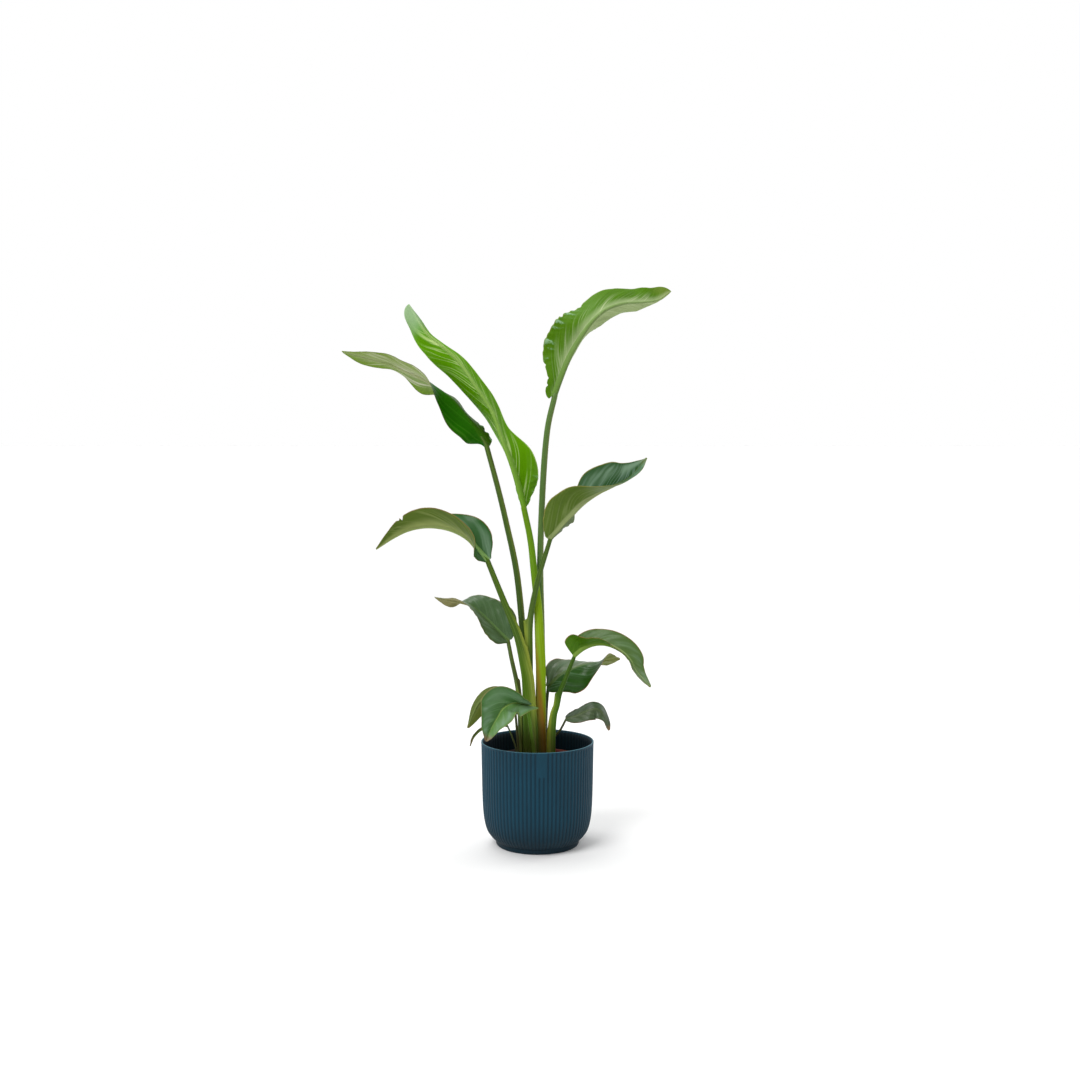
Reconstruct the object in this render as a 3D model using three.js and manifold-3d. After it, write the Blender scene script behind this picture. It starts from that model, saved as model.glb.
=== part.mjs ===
// A bird of paradise plant in its nursery pot, standing in a ribbed cover pot.
// Millimetres, +Z up, the front of the pot faces -Y. The origin is the middle of the underside of
// the cover pot.

import * as THREE from 'three';
import * as BufferGeometryUtils from 'three/addons/utils/BufferGeometryUtils.js';
import Module from 'manifold-3d';

const wasm = await Module();
wasm.setup();

// ---------- driving dimensions ----------

const pot = {
  height: 204,
  rimRadius: 110,
  rimBand: 3.5,          // height of the plain band at the lip
  wall: 3,
  floorTop: 14,          // inside face of the floor
  ribs: 84,
  ribDepth: 1.3,
  footRibs: 0.3,         // how deep the ribs still are where they run out above the foot
  firstGroove: -1.95,    // where the first groove is, in degrees from the front towards +X
  plainGrooves: 2,       // grooves left out after the first, for the smooth panel
  // the ribbed wall's height and radius from the foot up; the last is where the smooth panel starts
  wallProfile: [[12, 85], [20, 92.5], [33, 100.2], [58, 105.5], [95, 107.8], [158, 109.1]],
  foot: { radius: 81.5, height: 10.5, rounding: 4 },
};

const nursery = {
  rimZ: 168, rimRadius: 91, lipHeight: 9, lipRadius: 93, bottomRadius: 68, wall: 2, sides: 48,
  floorGap: 0.3,
};

const soil = { top: 155, gap: 0.4, holeDepth: 42, holeGap: 0.5, mound: 5, rings: 4 };

const blade = { thickness: 0.8, rows: 14, strips: 3, tipHalfWidth: 1.4 };

// Each leaf grew as one piece, stalk and blade. `stalk` runs from the soil to the blade, and
// `girth` gives its half widths at even steps, across and deep. `rib` is the midrib of the blade.
// `left` and `right` are the half blades as seen from the front, from the stalk to the tip, each
// step a width and a lean: 0 lies flat towards the front, positive turns towards the front.
// `upper` is 1 where the glossy upper face looks to the front, -1 where it looks away. `curl`
// bends each half across its width, `lobe` draws its root back, `wave` is the edge's swing.
const leaves = {
  leaf_top_right: {
    stalk: [[10, 16, 155], [9, 16, 300], [7, 16, 431], [5.5, 16, 555], [10.5, 17, 700], [19, 17, 807],
      [31, 18, 875]],
    girth: [[7.5, 6.5], [7.5, 6.5], [7, 6.5], [6, 6], [6, 6], [5.5, 5.5]],
    rib: [[32, 18, 877], [48, 22, 919], [63, 28, 954], [83, 35, 988], [106, 44, 1019],
      [134, 55, 1043], [169, 68, 1056], [208, 84, 1060], [238, 98, 1066], [265, 108, 1084]],
    left: [[18, -25], [25, -20], [56, -20], [58, -8], [60, -45], [54, -47], [47, -45], [33, -32],
      [20, -20]],
    right: [[18, -75], [38, -82], [50, -87], [54, -84], [52, -77], [46, -64], [34, -70], [20, -80],
      [10, -70]],
    upper: -1, curl: [-18, -30], lobe: [10, 6], wave: { size: 3, count: 3.5, phase: 0.4 },
  },
  leaf_top_centre: {
    stalk: [[6.5, 0, 155], [7, 0, 284], [7, 0, 363], [2, 0, 461], [-6.5, 1, 537], [-13.5, 3, 597],
      [-24, 5, 659]],
    girth: [[10, 6.5], [10, 6.5], [8.5, 6], [7.2, 5.5], [6.5, 5.5], [5.5, 5.5]],
    rib: [[-25, 5, 661], [-45, -2, 732], [-68, -8, 794], [-87, -14, 845], [-119, -22, 894],
      [-150, -28, 939], [-184, -34, 970], [-212, -40, 995], [-241, -50, 1044]],
    left: [[16, -70], [32, -80], [42, -82], [48, -74], [48, -60], [46, -42], [37, -26], [28, -33],
      [17, -10]],
    right: [[22, -45], [45, -26], [54, -33], [46, -70], [44, -65], [38, -72], [32, -78], [22, -76],
      [9, -84]],
    upper: -1, curl: [-20, 30], lobe: [6, 0], wave: { size: 1.5, count: 3, phase: 0 },
  },
  leaf_top_left: {
    stalk: [[-22, 18, 155], [-23, 17, 320], [-30, 15, 431], [-41, 12, 536], [-60, 9, 628], [-77, 5, 700],
      [-97, 0, 776]],
    girth: [[7, 6.5], [7, 6.5], [6.5, 6], [6, 5.5], [5.5, 5], [5, 5]],
    rib: [[-98, 0, 778], [-110, -3, 801], [-129, -5, 829], [-156, -5, 862], [-183, -3, 885],
      [-208, 0, 902], [-233, 6, 914], [-261, 12, 925], [-288, 20, 937], [-320, 30, 945],
      [-381, 50, 962]],
    left: [[14, -60], [36, 22], [44, 25], [42, 54], [42, 104], [38, 118], [28, 117], [16, 109],
      [6, 110]],
    right: [[20, -45], [30, -65], [42, -88], [44, -90], [42, -130], [40, -106], [33, -112],
      [22, -121], [11, -117]],
    upper: 1, curl: [15, -10], lobe: [4, 3], wave: { size: 2, count: 2.5, phase: 1 },
  },
  leaf_mid_left: {
    stalk: [[-15, -16, 155], [-15, -16, 220], [-17, -17, 313], [-23, -18, 354], [-38, -20, 415],
      [-63, -24, 477], [-95, -30, 559]],
    girth: [[9, 6], [11, 6.5], [9, 6], [6, 5], [5, 5]],
    rib: [[-95, -30, 561], [-113, -35, 582], [-130, -41, 602], [-153, -48, 617], [-180, -56, 626],
      [-212, -63, 628], [-244, -69, 621], [-273, -76, 606], [-302, -85, 586]],
    left: [[12, 30], [25, 58], [40, 100], [47, 118], [54, 132], [44, 139], [29, 144], [14, 140],
      [5, 135]],
    right: [[13, 10], [32, 10], [43, 5], [38, -30], [35, -60], [32, -70], [24, -70], [14, -65],
      [6, -60]],
    upper: 1, curl: [20, -15], lobe: [0, 2], wave: { size: 2, count: 3, phase: 2 },
  },
  leaf_low_left: {
    stalk: [[-32, 0, 155], [-32, 0, 230], [-34, 1, 274], [-40, 1, 317], [-50, 0, 363], [-57, 0, 401]],
    girth: [[6, 5.5], [6, 5.5], [4.5, 4.5], [3.8, 3.8]],
    rib: [[-57, 0, 402], [-75, 1, 419], [-92, 4, 436], [-110, 8, 453], [-131, 12, 469],
      [-155, 18, 475], [-179, 26, 478], [-202, 40, 481]],
    left: [[12, 30], [31, 50], [37, 63], [36, 72], [34, 88], [26, 104], [20, 105], [14, 105], [7, 100]],
    right: [[20, 0], [41, -5], [49, -16], [47, -26], [40, -40], [28, -80], [24, -125], [18, -140],
      [8, -140]],
    upper: 1, curl: [-15, -20], lobe: [3, 4], wave: { size: 2, count: 3, phase: 0.5 },
  },
  leaf_mid_right: {
    stalk: [[-13, 1, 155], [-13, 1, 250], [-16, 0, 323], [-15.5, -2, 383], [-15, -7, 434], [-9, -14, 475],
      [3, -19, 528], [23, -30, 601]],
    girth: [[6, 5], [7, 5], [7, 5], [6, 5], [5, 4.5], [4.2, 4.2]],
    rib: [[24, -30, 603], [43, -38, 624], [64, -46, 648], [86, -51, 671], [115, -52, 690],
      [143, -48, 703], [176, -42, 720], [208, -35, 756]],
    left: [[17, -10], [37, -12], [49, -5], [48, 22], [52, 66], [44, 90], [24, 96], [15, 108], [5, 118]],
    right: [[12, -70], [34, -75], [36, -66], [30, -128], [46, -164], [46, -176], [36, -182],
      [17, -175], [4, -160]],
    upper: -1, curl: [-15, -15], lobe: [5, 8], wave: { size: 2, count: 2.5, phase: 0 },
  },
  leaf_low_right: {
    stalk: [[27, -9, 155], [28, -9, 215], [33, -9, 255], [39, -9, 275], [44, -10, 299], [56, -15, 333],
      [69, -20, 372]],
    girth: [[7.5, 5.5], [8, 5.5], [5, 4.5], [3.6, 3.6]],
    rib: [[70, -20, 374], [88, -24, 390], [111, -30, 399], [135, -38, 399], [160, -47, 388],
      [177, -55, 372], [188, -62, 352], [215, -70, 322]],
    left: [[29, -5], [36, 5], [37, 56], [35, 64], [32, 87], [28, 92], [21, 101], [9, 118], [4, 120]],
    right: [[16, -88], [28, -130], [31, -150], [30, -152], [30, -160], [29, -155], [22, -135],
      [13, -130], [6, -130]],
    upper: -1, curl: [-10, -15], lobe: [0, 4], wave: { size: 1.5, count: 3, phase: 1 },
  },
  leaf_low_back: {
    stalk: [[16, 36, 155], [17, 35, 250], [20, 30, 304]],
    girth: [[3.5, 3.5], [3.2, 3.2], [3, 3]],
    rib: [[21, 30, 306], [43, 33, 327], [65, 37, 338], [91, 43, 347], [125, 50, 352], [164, 58, 355]],
    left: [[10, -30], [38, -36], [42, -70], [36, -92], [34, -115], [12, -120]],
    right: [[20, 0], [43, 0], [48, 8], [36, 56], [34, 124], [12, 120]],
    upper: 1, curl: [-10, -15], lobe: [4, 8], wave: { size: 1.5, count: 3, phase: 0 },
  },
  leaf_small_right: {
    stalk: [[28, 10, 155], [28, 10, 190], [33, 10, 208], [45, 10, 223], [55, 10, 245]],
    girth: [[2.4, 2.4], [2.2, 2.2], [2, 2]],
    rib: [[56, 10, 246], [76, 5, 252], [100, 0, 264], [118, 0, 266], [133, -5, 250], [140, -5, 225]],
    left: [[12, -60], [20, -64], [22, -62], [18, -60], [12, -65], [6, -50]],
    right: [[10, 50], [19, 55], [22, 38], [21, 10], [11, 50], [5, 40]],
    upper: 1, curl: [-15, -15], lobe: [2, 2], wave: { size: 1, count: 2.5, phase: 0 }, small: true,
  },
  leaf_low_front: {
    stalk: [[-5, -40, 155], [-6, -41, 194], [-11, -44, 228], [-17, -48, 264], [-18, -50, 281]],
    girth: [[3.2, 3.2], [3, 3], [2.8, 2.8]],
    rib: [[-19, -50, 284], [-44, -58, 290], [-64, -70, 282], [-75, -88, 268], [-86, -105, 251],
      [-96, -120, 229]],
    left: [[18, 78], [34, 48], [38, 48], [34, 46], [20, 40], [8, 30]],
    right: [[20, 60], [38, 60], [46, 12], [40, 10], [23, 20], [8, 20]],
    upper: 1, curl: [-15, -15], lobe: [22, 6], wave: { size: 1.5, count: 2.5, phase: 1 },
  },
  leaf_small_left: {
    stalk: [[-37, -20, 155], [-37, -19, 189], [-42, -8, 250], [-45, 0, 268]],
    girth: [[2.4, 2.4], [2.3, 2.3], [2.2, 2.2]],
    rib: [[-45, 0, 269], [-62, 0, 289], [-87, -5, 295], [-113, -10, 280], [-136, -15, 232]],
    left: [[16, 0], [26, -10], [28, 0], [24, 0], [14, 0], [6, 0]],
    right: [[14, -60], [22, -60], [24, -60], [20, -60], [12, -60], [5, -60]],
    upper: -1, curl: [-15, -15], lobe: [3, 3], wave: { size: 1, count: 2.5, phase: 0 }, small: true,
  },
  leaf_dry_left: {
    stalk: [[-40, -32, 155], [-41, -32, 192], [-50, -30, 221], [-58, -25, 237]],
    girth: [[1.7, 1.7], [1.6, 1.6]],
    rib: [[-59, -25, 238], [-82, -10, 243], [-109, -2, 229], [-125, 0, 213], [-132, 0, 193]],
    left: [[5, 0], [7, 20], [8, 20], [8, 20], [6, 20], [3, 20]],
    right: [[4, 60], [5, 60], [6, 60], [6, 60], [5, 60], [3, 60]],
    upper: 1, curl: [20, 20], lobe: [0, 0], wave: { size: 0.6, count: 2, phase: 0 }, small: true,
  },
};

// ---------- small helpers ----------

const radians = THREE.MathUtils.degToRad;
const front = new THREE.Vector3(0, -1, 0);

// a smooth value through evenly spaced steps, u from 0 to 1
function smooth(values, u) {
  const last = values.length - 1;
  const i = Math.min(Math.floor(u * last), last - 1);
  const f = u * last - i;
  const a = values[i];
  const b = values[i + 1];
  const before = i > 0 ? values[i - 1] : 2 * a - b;
  const after = i + 2 <= last ? values[i + 2] : 2 * b - a;
  const v0 = (b - before) / 2;
  const v1 = (after - a) / 2;
  return ((2 * a - 2 * b + v0 + v1) * f + (3 * b - 3 * a - 2 * v0 - v1)) * f * f + v0 * f + a;
}

function splineOf(points) {
  return new THREE.CatmullRomCurve3(points.map((p) => new THREE.Vector3(...p)), false, 'catmullrom', 0.5);
}

// a closed surface from rings of points, each ring the same length, with flat ends
function loft(rings) {
  const n = rings[0].length;
  const position = rings.flat().flatMap((p) => [p.x, p.y, p.z]);
  const index = [];
  for (let j = 0; j + 1 < rings.length; j++) {
    for (let i = 0; i < n; i++) {
      const a = j * n + i;
      const b = j * n + (i + 1) % n;
      index.push(a, b, b + n, a, b + n, a + n);
    }
  }
  const top = (rings.length - 1) * n;
  for (let i = 1; i + 1 < n; i++) {
    index.push(0, i + 1, i, top, top + i, top + i + 1);
  }
  return meshGeometry(position, index);
}

function meshGeometry(position, index) {
  const geometry = new THREE.BufferGeometry();
  geometry.setAttribute('position', new THREE.Float32BufferAttribute(position, 3));
  geometry.setIndex(index);
  return geometry;
}

function solidOf(geometry) {
  const plain = geometry.clone();
  plain.deleteAttribute('normal');
  plain.deleteAttribute('uv');
  const merged = BufferGeometryUtils.mergeVertices(plain, 1e-4);
  return new wasm.Manifold(new wasm.Mesh({
    numProp: 3,
    vertProperties: new Float32Array(merged.attributes.position.array),
    triVerts: new Uint32Array(merged.index.array),
  }));
}

function geometryOf(solid) {
  const mesh = solid.getMesh();
  return meshGeometry(Array.from(mesh.vertProperties), Array.from(mesh.triVerts));
}

// ---------- cover pot ----------

// a point of the pot's wall, its place counted in ribs from the first groove
function wallPoint(rib, radius, z) {
  const angle = rib / pot.ribs * 2 * Math.PI + radians(pot.firstGroove - 90);
  return new THREE.Vector3(radius * Math.cos(angle), radius * Math.sin(angle), z);
}

// one ring of the ribbed wall: three points for each rib, the first in the groove
function ribbedRing(z, radius, depth, plainDepth) {
  const ring = [];
  for (let rib = 0; rib < pot.ribs; rib++) {
    const groove = rib > 0 && rib <= pot.plainGrooves ? plainDepth : depth;
    ring.push(wallPoint(rib, radius - groove, z));
    ring.push(wallPoint(rib + 0.3, radius, z), wallPoint(rib + 0.7, radius, z));
  }
  return ring;
}

function plainRing(z, radius) {
  return Array.from({ length: pot.ribs }, (_, rib) => wallPoint(rib, radius, z));
}

// joins rings of differing length, where the longer has three points for each of the shorter
function joinRings(rings) {
  const position = rings.flat().flatMap((p) => [p.x, p.y, p.z]);
  const index = [];
  let start = 0;
  for (let j = 0; j + 1 < rings.length; j++) {
    const n = rings[j].length;
    const m = rings[j + 1].length;
    const low = start;
    const high = start + n;
    const steps = Math.min(n, m);
    for (let i = 0; i < steps; i++) {
      const lowStep = n / steps;
      const highStep = m / steps;
      const a = low + i * lowStep;
      const b = high + i * highStep;
      const aNext = low + (i + 1) % steps * lowStep;
      const bNext = high + (i + 1) % steps * highStep;
      for (let k = 1; k <= lowStep; k++) {
        index.push(a + k - 1, k === lowStep ? aNext : a + k, b);
      }
      for (let k = 1; k <= highStep; k++) {
        index.push(aNext, k === highStep ? bNext : b + k, b + k - 1);
      }
    }
    start = high;
  }
  const n = rings[0].length;
  const m = rings[rings.length - 1].length;
  for (let i = 1; i + 1 < n; i++) index.push(0, i + 1, i);
  for (let i = 1; i + 1 < m; i++) index.push(start, start + i, start + i + 1);
  return meshGeometry(position, index);
}

function coverPot() {
  const { foot, wall, height, rimRadius, rimBand, floorTop, ribDepth, footRibs, wallProfile } = pot;
  const lipZ = height - rimBand;
  const [panelZ, panelRadius] = wallProfile[wallProfile.length - 1];
  const ribbedWall = wallProfile.map(([z, radius], i) => {
    const depth = i ? ribDepth : footRibs;
    return ribbedRing(z, radius, depth, depth);
  });
  const innerWall = wallProfile.slice(1, -1).reverse().map(([z, radius]) => (
    plainRing(Math.max(z, floorTop + 3), radius - wall - ribDepth)));
  return joinRings([
    plainRing(0, foot.radius - foot.rounding),
    plainRing(foot.rounding * 0.3, foot.radius - foot.rounding * 0.3),
    plainRing(foot.rounding, foot.radius),
    plainRing(foot.height, foot.radius),
    ...ribbedWall,
    ribbedRing(panelZ + 2, panelRadius, ribDepth, 0),
    ribbedRing(lipZ - 1, rimRadius - 0.2, ribDepth, 0),
    plainRing(lipZ, rimRadius),
    plainRing(height - 0.8, rimRadius),
    plainRing(height, rimRadius - 0.8),
    plainRing(height, rimRadius - wall + 0.6),
    plainRing(height - 2, rimRadius - wall - 0.2),
    ...innerWall,
    plainRing(floorTop, wallProfile[0][1] - wall),
  ]);
}

// ---------- nursery pot and soil ----------

function turned(profile, sides) {
  const points = profile.map(([r, z]) => new THREE.Vector2(r, z));
  return new THREE.LatheGeometry(points, sides).rotateX(Math.PI / 2);
}

function nurseryRadius(z) {
  const low = pot.floorTop + nursery.floorGap;
  const share = (z - low) / (nursery.rimZ - nursery.lipHeight - low);
  return nursery.bottomRadius + share * (nursery.rimRadius - nursery.bottomRadius);
}

function nurseryPot() {
  const low = pot.floorTop + nursery.floorGap;
  const floor = low + nursery.wall;
  const { rimZ, lipHeight, lipRadius, rimRadius, bottomRadius, wall, sides } = nursery;
  return turned([
    [0, low], [bottomRadius - 2, low], [bottomRadius, low + 2],
    [rimRadius, rimZ - lipHeight], [lipRadius, rimZ - lipHeight], [lipRadius + 0.6, rimZ],
    [rimRadius - wall, rimZ], [nurseryRadius(rimZ - lipHeight) - wall, rimZ - lipHeight],
    [nurseryRadius(floor) - wall, floor], [0, floor],
  ], sides);
}

function soilBody(stems) {
  const floor = pot.floorTop + nursery.floorGap + nursery.wall + soil.gap;
  const inset = nursery.wall + soil.gap + 0.3;
  const edge = nurseryRadius(soil.top - 4) - inset;
  const profile = [[0, floor], [nurseryRadius(floor) - inset, floor], [edge, soil.top - 4]];
  for (let k = soil.rings - 1; k > 0; k--) {
    const r = edge * k / soil.rings;
    profile.push([r, soil.top - 4 + soil.mound * (1 - (r / edge) ** 2)]);
  }
  profile.push([0, soil.top - 4 + soil.mound]);
  let body = solidOf(turned(profile, nursery.sides));
  stems.forEach(({ x, y, across, deep }) => {
    const ringAt = (z) => stalkRing(new THREE.Vector3(x, y, z), new THREE.Vector3(0, 0, 1),
      across + soil.holeGap, deep + soil.holeGap);
    const hole = solidOf(loft([ringAt(soil.top - soil.holeDepth), ringAt(soil.top + 12)]));
    body = body.subtract(hole);
  });
  return geometryOf(body);
}

// ---------- leaves ----------

function stalkRing(centre, tangent, across, deep, sides = 8) {
  const left = new THREE.Vector3().crossVectors(front, tangent).normalize();
  const toFront = new THREE.Vector3().crossVectors(tangent, left).normalize();
  return Array.from({ length: sides }, (_, i) => {
    const angle = (i + 0.5) / sides * 2 * Math.PI;
    return centre.clone()
      .addScaledVector(left, -across * Math.cos(angle))
      .addScaledVector(toFront, -deep * Math.sin(angle));
  });
}

// where a point of the half blade lies, and which way its front face looks
function halfBladePoint(frame, side, leaf, u, reach) {
  const { centre, tangent, left, toFront, share } = frame;
  const steps = side > 0 ? leaf.left : leaf.right;
  const width = smooth([frame.ribHalf + 1, ...steps.map((s) => s[0]), blade.tipHalfWidth], u);
  const leans = steps.map((s) => s[1]);
  const lean = radians(smooth([leans[0], ...leans, leans[leans.length - 1]], u));
  const curl = radians(side > 0 ? leaf.curl[0] : leaf.curl[1]) || 1e-4;
  const lobe = side > 0 ? leaf.lobe[0] : leaf.lobe[1];
  const distance = frame.ribHalf + (width - frame.ribHalf) * reach;
  const s = distance / width;
  const start = lean - curl / 2;
  const along = width * (Math.sin(start + curl * s) - Math.sin(start)) / curl;
  const rise = width * (Math.cos(start) - Math.cos(start + curl * s)) / curl;
  const angle = start + curl * s;
  const outward = left.clone().multiplyScalar(side);
  const normal = toFront.clone().multiplyScalar(Math.cos(angle)).addScaledVector(outward, -Math.sin(angle));
  const swing = leaf.wave.size * s * s * Math.min(1, width / 20)
    * Math.sin(2 * Math.PI * leaf.wave.count * share + leaf.wave.phase + (side > 0 ? 0 : 2));
  const back = lobe * s * Math.max(0, 1 - share / 0.3) ** 2;
  const point = centre.clone()
    .addScaledVector(outward, along)
    .addScaledVector(toFront, rise)
    .addScaledVector(normal, swing)
    .addScaledVector(tangent, -back);
  return { point, normal };
}

function bladeFrame(leaf, curve, u, ribBase) {
  const share = (1 - Math.cos(Math.PI * u)) / 2;
  const centre = curve.getPointAt(share);
  const tangent = curve.getTangentAt(share).normalize();
  const left = new THREE.Vector3().crossVectors(front, tangent).normalize();
  const toFront = new THREE.Vector3().crossVectors(tangent, left).normalize();
  const ribHalf = ribBase * (1 - share) ** 0.8 * 0.9 + 0.5;
  const frame = { centre, tangent, left, toFront, share, ribHalf };
  const leftRoot = halfBladePoint(frame, 1, leaf, u, 0);
  const rightRoot = halfBladePoint(frame, -1, leaf, u, 0);
  frame.upperNormal = leftRoot.normal.clone().add(rightRoot.normal).normalize().multiplyScalar(leaf.upper);
  return frame;
}

function bladeGeometry(leaf, ribBase) {
  const curve = splineOf(leaf.rib);
  const rows = leaf.small ? 10 : blade.rows;
  const strips = leaf.small ? 2 : blade.strips;
  const half = blade.thickness / 2;
  const reaches = Array.from({ length: strips + 1 }, (_, k) => k / strips);
  const upperFace = [];
  const lowerFace = [];
  for (let j = 0; j <= rows; j++) {
    const u = j / rows;
    const frame = bladeFrame(leaf, curve, u, ribBase);
    const upper = [];
    const lower = [];
    const place = ({ point, normal }) => {
      upper.push(point.clone().addScaledVector(normal, half * leaf.upper));
      lower.push(point.clone().addScaledVector(normal, -half * leaf.upper));
    };
    [...reaches].reverse().forEach((reach) => place(halfBladePoint(frame, 1, leaf, u, reach)));
    upper.push(frame.centre.clone().addScaledVector(frame.upperNormal, half - frame.ribHalf * 0.25));
    lower.push(frame.centre.clone().addScaledVector(frame.upperNormal, -half - frame.ribHalf * 1.5));
    reaches.forEach((reach) => place(halfBladePoint(frame, -1, leaf, u, reach)));
    upperFace.push(upper);
    lowerFace.push(lower);
  }
  return twoFacedSheet(upperFace, lowerFace, leaf.upper > 0);
}

// a thin closed sheet between two grids of points, split into triangles alike on both faces
function twoFacedSheet(upperFace, lowerFace, upperToFront) {
  const columns = upperFace[0].length;
  const rows = upperFace.length;
  const count = rows * columns;
  const position = [...upperFace.flat(), ...lowerFace.flat()].flatMap((p) => [p.x, p.y, p.z]);
  const index = [];
  const add = (a, b, c) => (upperToFront ? index.push(a, b, c) : index.push(a, c, b));
  for (let j = 0; j + 1 < rows; j++) {
    for (let i = 0; i + 1 < columns; i++) {
      const a = j * columns + i;
      const b = a + 1;
      const c = b + columns;
      const d = a + columns;
      add(a, b, c);
      add(a, c, d);
      add(count + a, count + c, count + b);
      add(count + a, count + d, count + c);
    }
    const left = j * columns;
    const right = left + columns - 1;
    add(left, left + columns, count + left + columns);
    add(left, count + left + columns, count + left);
    add(right, count + right, count + right + columns);
    add(right, count + right + columns, right + columns);
  }
  for (let i = 0; i + 1 < columns; i++) {
    const top = (rows - 1) * columns + i;
    add(i, count + i, count + i + 1);
    add(i, count + i + 1, i + 1);
    add(top, top + 1, count + top + 1);
    add(top, count + top + 1, count + top);
  }
  return meshGeometry(position, index);
}

function stalkGeometry(leaf, ribBase) {
  const blades = splineOf(leaf.rib);
  const rootFrame = bladeFrame(leaf, blades, 0, ribBase);
  const insideFrame = bladeFrame(leaf, blades, 0.16, ribBase);
  const under = (frame, depth) => frame.centre.clone().addScaledVector(frame.upperNormal, -depth);
  const route = leaf.stalk.slice(0, -1).map((p) => new THREE.Vector3(...p));
  route.push(under(rootFrame, ribBase * 0.8));
  const curve = new THREE.CatmullRomCurve3(route, false, 'catmullrom', 0.5);
  const steps = Math.max(4, Math.round(curve.getLength() / 45));
  const upright = new THREE.Vector3(0, 0, 1);
  const girthAt = (t) => [0, 1].map((k) => smooth(leaf.girth.map((g) => g[k]), t));
  const foot = new THREE.Vector3(leaf.stalk[0][0], leaf.stalk[0][1], soil.top - soil.holeDepth + 0.3);
  const rings = [
    stalkRing(foot, upright, ...leaf.girth[0]),
    stalkRing(route[0], upright, ...leaf.girth[0]),
  ];
  for (let k = 1; k <= steps; k++) {
    rings.push(stalkRing(curve.getPointAt(k / steps), curve.getTangentAt(k / steps), ...girthAt(k / steps)));
  }
  rings.push(stalkRing(under(insideFrame, ribBase * 0.6), insideFrame.tangent, ribBase * 0.4, ribBase * 0.4));
  return loft(rings);
}

function leafGeometry(leaf) {
  const ribBase = leaf.girth[leaf.girth.length - 1][0];
  const joined = solidOf(bladeGeometry(leaf, ribBase)).add(solidOf(stalkGeometry(leaf, ribBase)));
  return geometryOf(joined);
}

// ---------- the assembly ----------

const colours = {
  coverPot: { color: 0x24495c, roughness: 0.62, metalness: 0 },
  nurseryPot: { color: 0x9a4a35, roughness: 0.7, metalness: 0 },
  soil: { color: 0x2c2019, roughness: 0.95, metalness: 0 },
  leaf: { color: 0x3d6b35, roughness: 0.45, metalness: 0 },
  youngLeaf: { color: 0x6fa428, roughness: 0.45, metalness: 0 },
};

function piece(name, geometry, colour) {
  geometry.computeVertexNormals();
  const mesh = new THREE.Mesh(geometry, new THREE.MeshStandardMaterial(colour));
  mesh.name = name;
  return mesh;
}

const plant = new THREE.Group();
plant.add(piece('cover_pot', coverPot(), colours.coverPot));
plant.add(piece('nursery_pot', nurseryPot(), colours.nurseryPot));

const stems = Object.values(leaves).map((leaf) => ({
  x: leaf.stalk[0][0], y: leaf.stalk[0][1], across: leaf.girth[0][0], deep: leaf.girth[0][1],
}));
plant.add(piece('soil', soilBody(stems), colours.soil));

Object.entries(leaves).forEach(([name, leaf]) => {
  plant.add(piece(name, leafGeometry(leaf), name === 'leaf_top_centre' ? colours.youngLeaf : colours.leaf));
});

export default plant;
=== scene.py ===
import math

import bpy
import numpy as np
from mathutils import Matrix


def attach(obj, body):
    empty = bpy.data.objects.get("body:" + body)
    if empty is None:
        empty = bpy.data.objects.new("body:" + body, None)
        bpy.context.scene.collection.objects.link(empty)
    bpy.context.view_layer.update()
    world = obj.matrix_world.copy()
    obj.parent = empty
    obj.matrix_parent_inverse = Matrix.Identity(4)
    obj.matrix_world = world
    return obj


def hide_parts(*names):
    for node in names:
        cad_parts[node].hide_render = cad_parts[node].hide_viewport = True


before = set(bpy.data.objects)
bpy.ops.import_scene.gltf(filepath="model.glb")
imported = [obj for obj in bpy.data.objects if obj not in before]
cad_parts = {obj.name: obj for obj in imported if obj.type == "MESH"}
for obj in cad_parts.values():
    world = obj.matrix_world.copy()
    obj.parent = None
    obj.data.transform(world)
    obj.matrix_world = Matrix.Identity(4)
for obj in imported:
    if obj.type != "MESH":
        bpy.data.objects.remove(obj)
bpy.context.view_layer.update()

mm = 0.001
fullTurn = 2 * math.pi
print("frame loaded:", len(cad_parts), "nodes")


def rgb(red, green, blue):
    # a colour given as on a screen, 0 to 255, as Blender's linear one
    def linear(value):
        value /= 255
        return value / 12.92 if value <= 0.04045 else ((value + 0.055) / 1.055) ** 2.4
    return (linear(red), linear(green), linear(blue), 1.0)


class Value:
    # wraps a socket, and arithmetic on it adds Math nodes
    def __init__(self, graph, socket):
        self.graph = graph
        self.socket = socket

    def output(self, name):
        return Value(self.graph, self.socket.node.outputs[name])

    def __add__(self, other):
        return self.graph.math("ADD", self, other)

    def __radd__(self, other):
        return self.graph.math("ADD", other, self)

    def __sub__(self, other):
        return self.graph.math("SUBTRACT", self, other)

    def __rsub__(self, other):
        return self.graph.math("SUBTRACT", other, self)

    def __mul__(self, other):
        return self.graph.math("MULTIPLY", self, other)

    def __rmul__(self, other):
        return self.graph.math("MULTIPLY", other, self)

    def __truediv__(self, other):
        return self.graph.math("DIVIDE", self, other)

    def __pow__(self, other):
        return self.graph.math("POWER", self, other)


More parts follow.
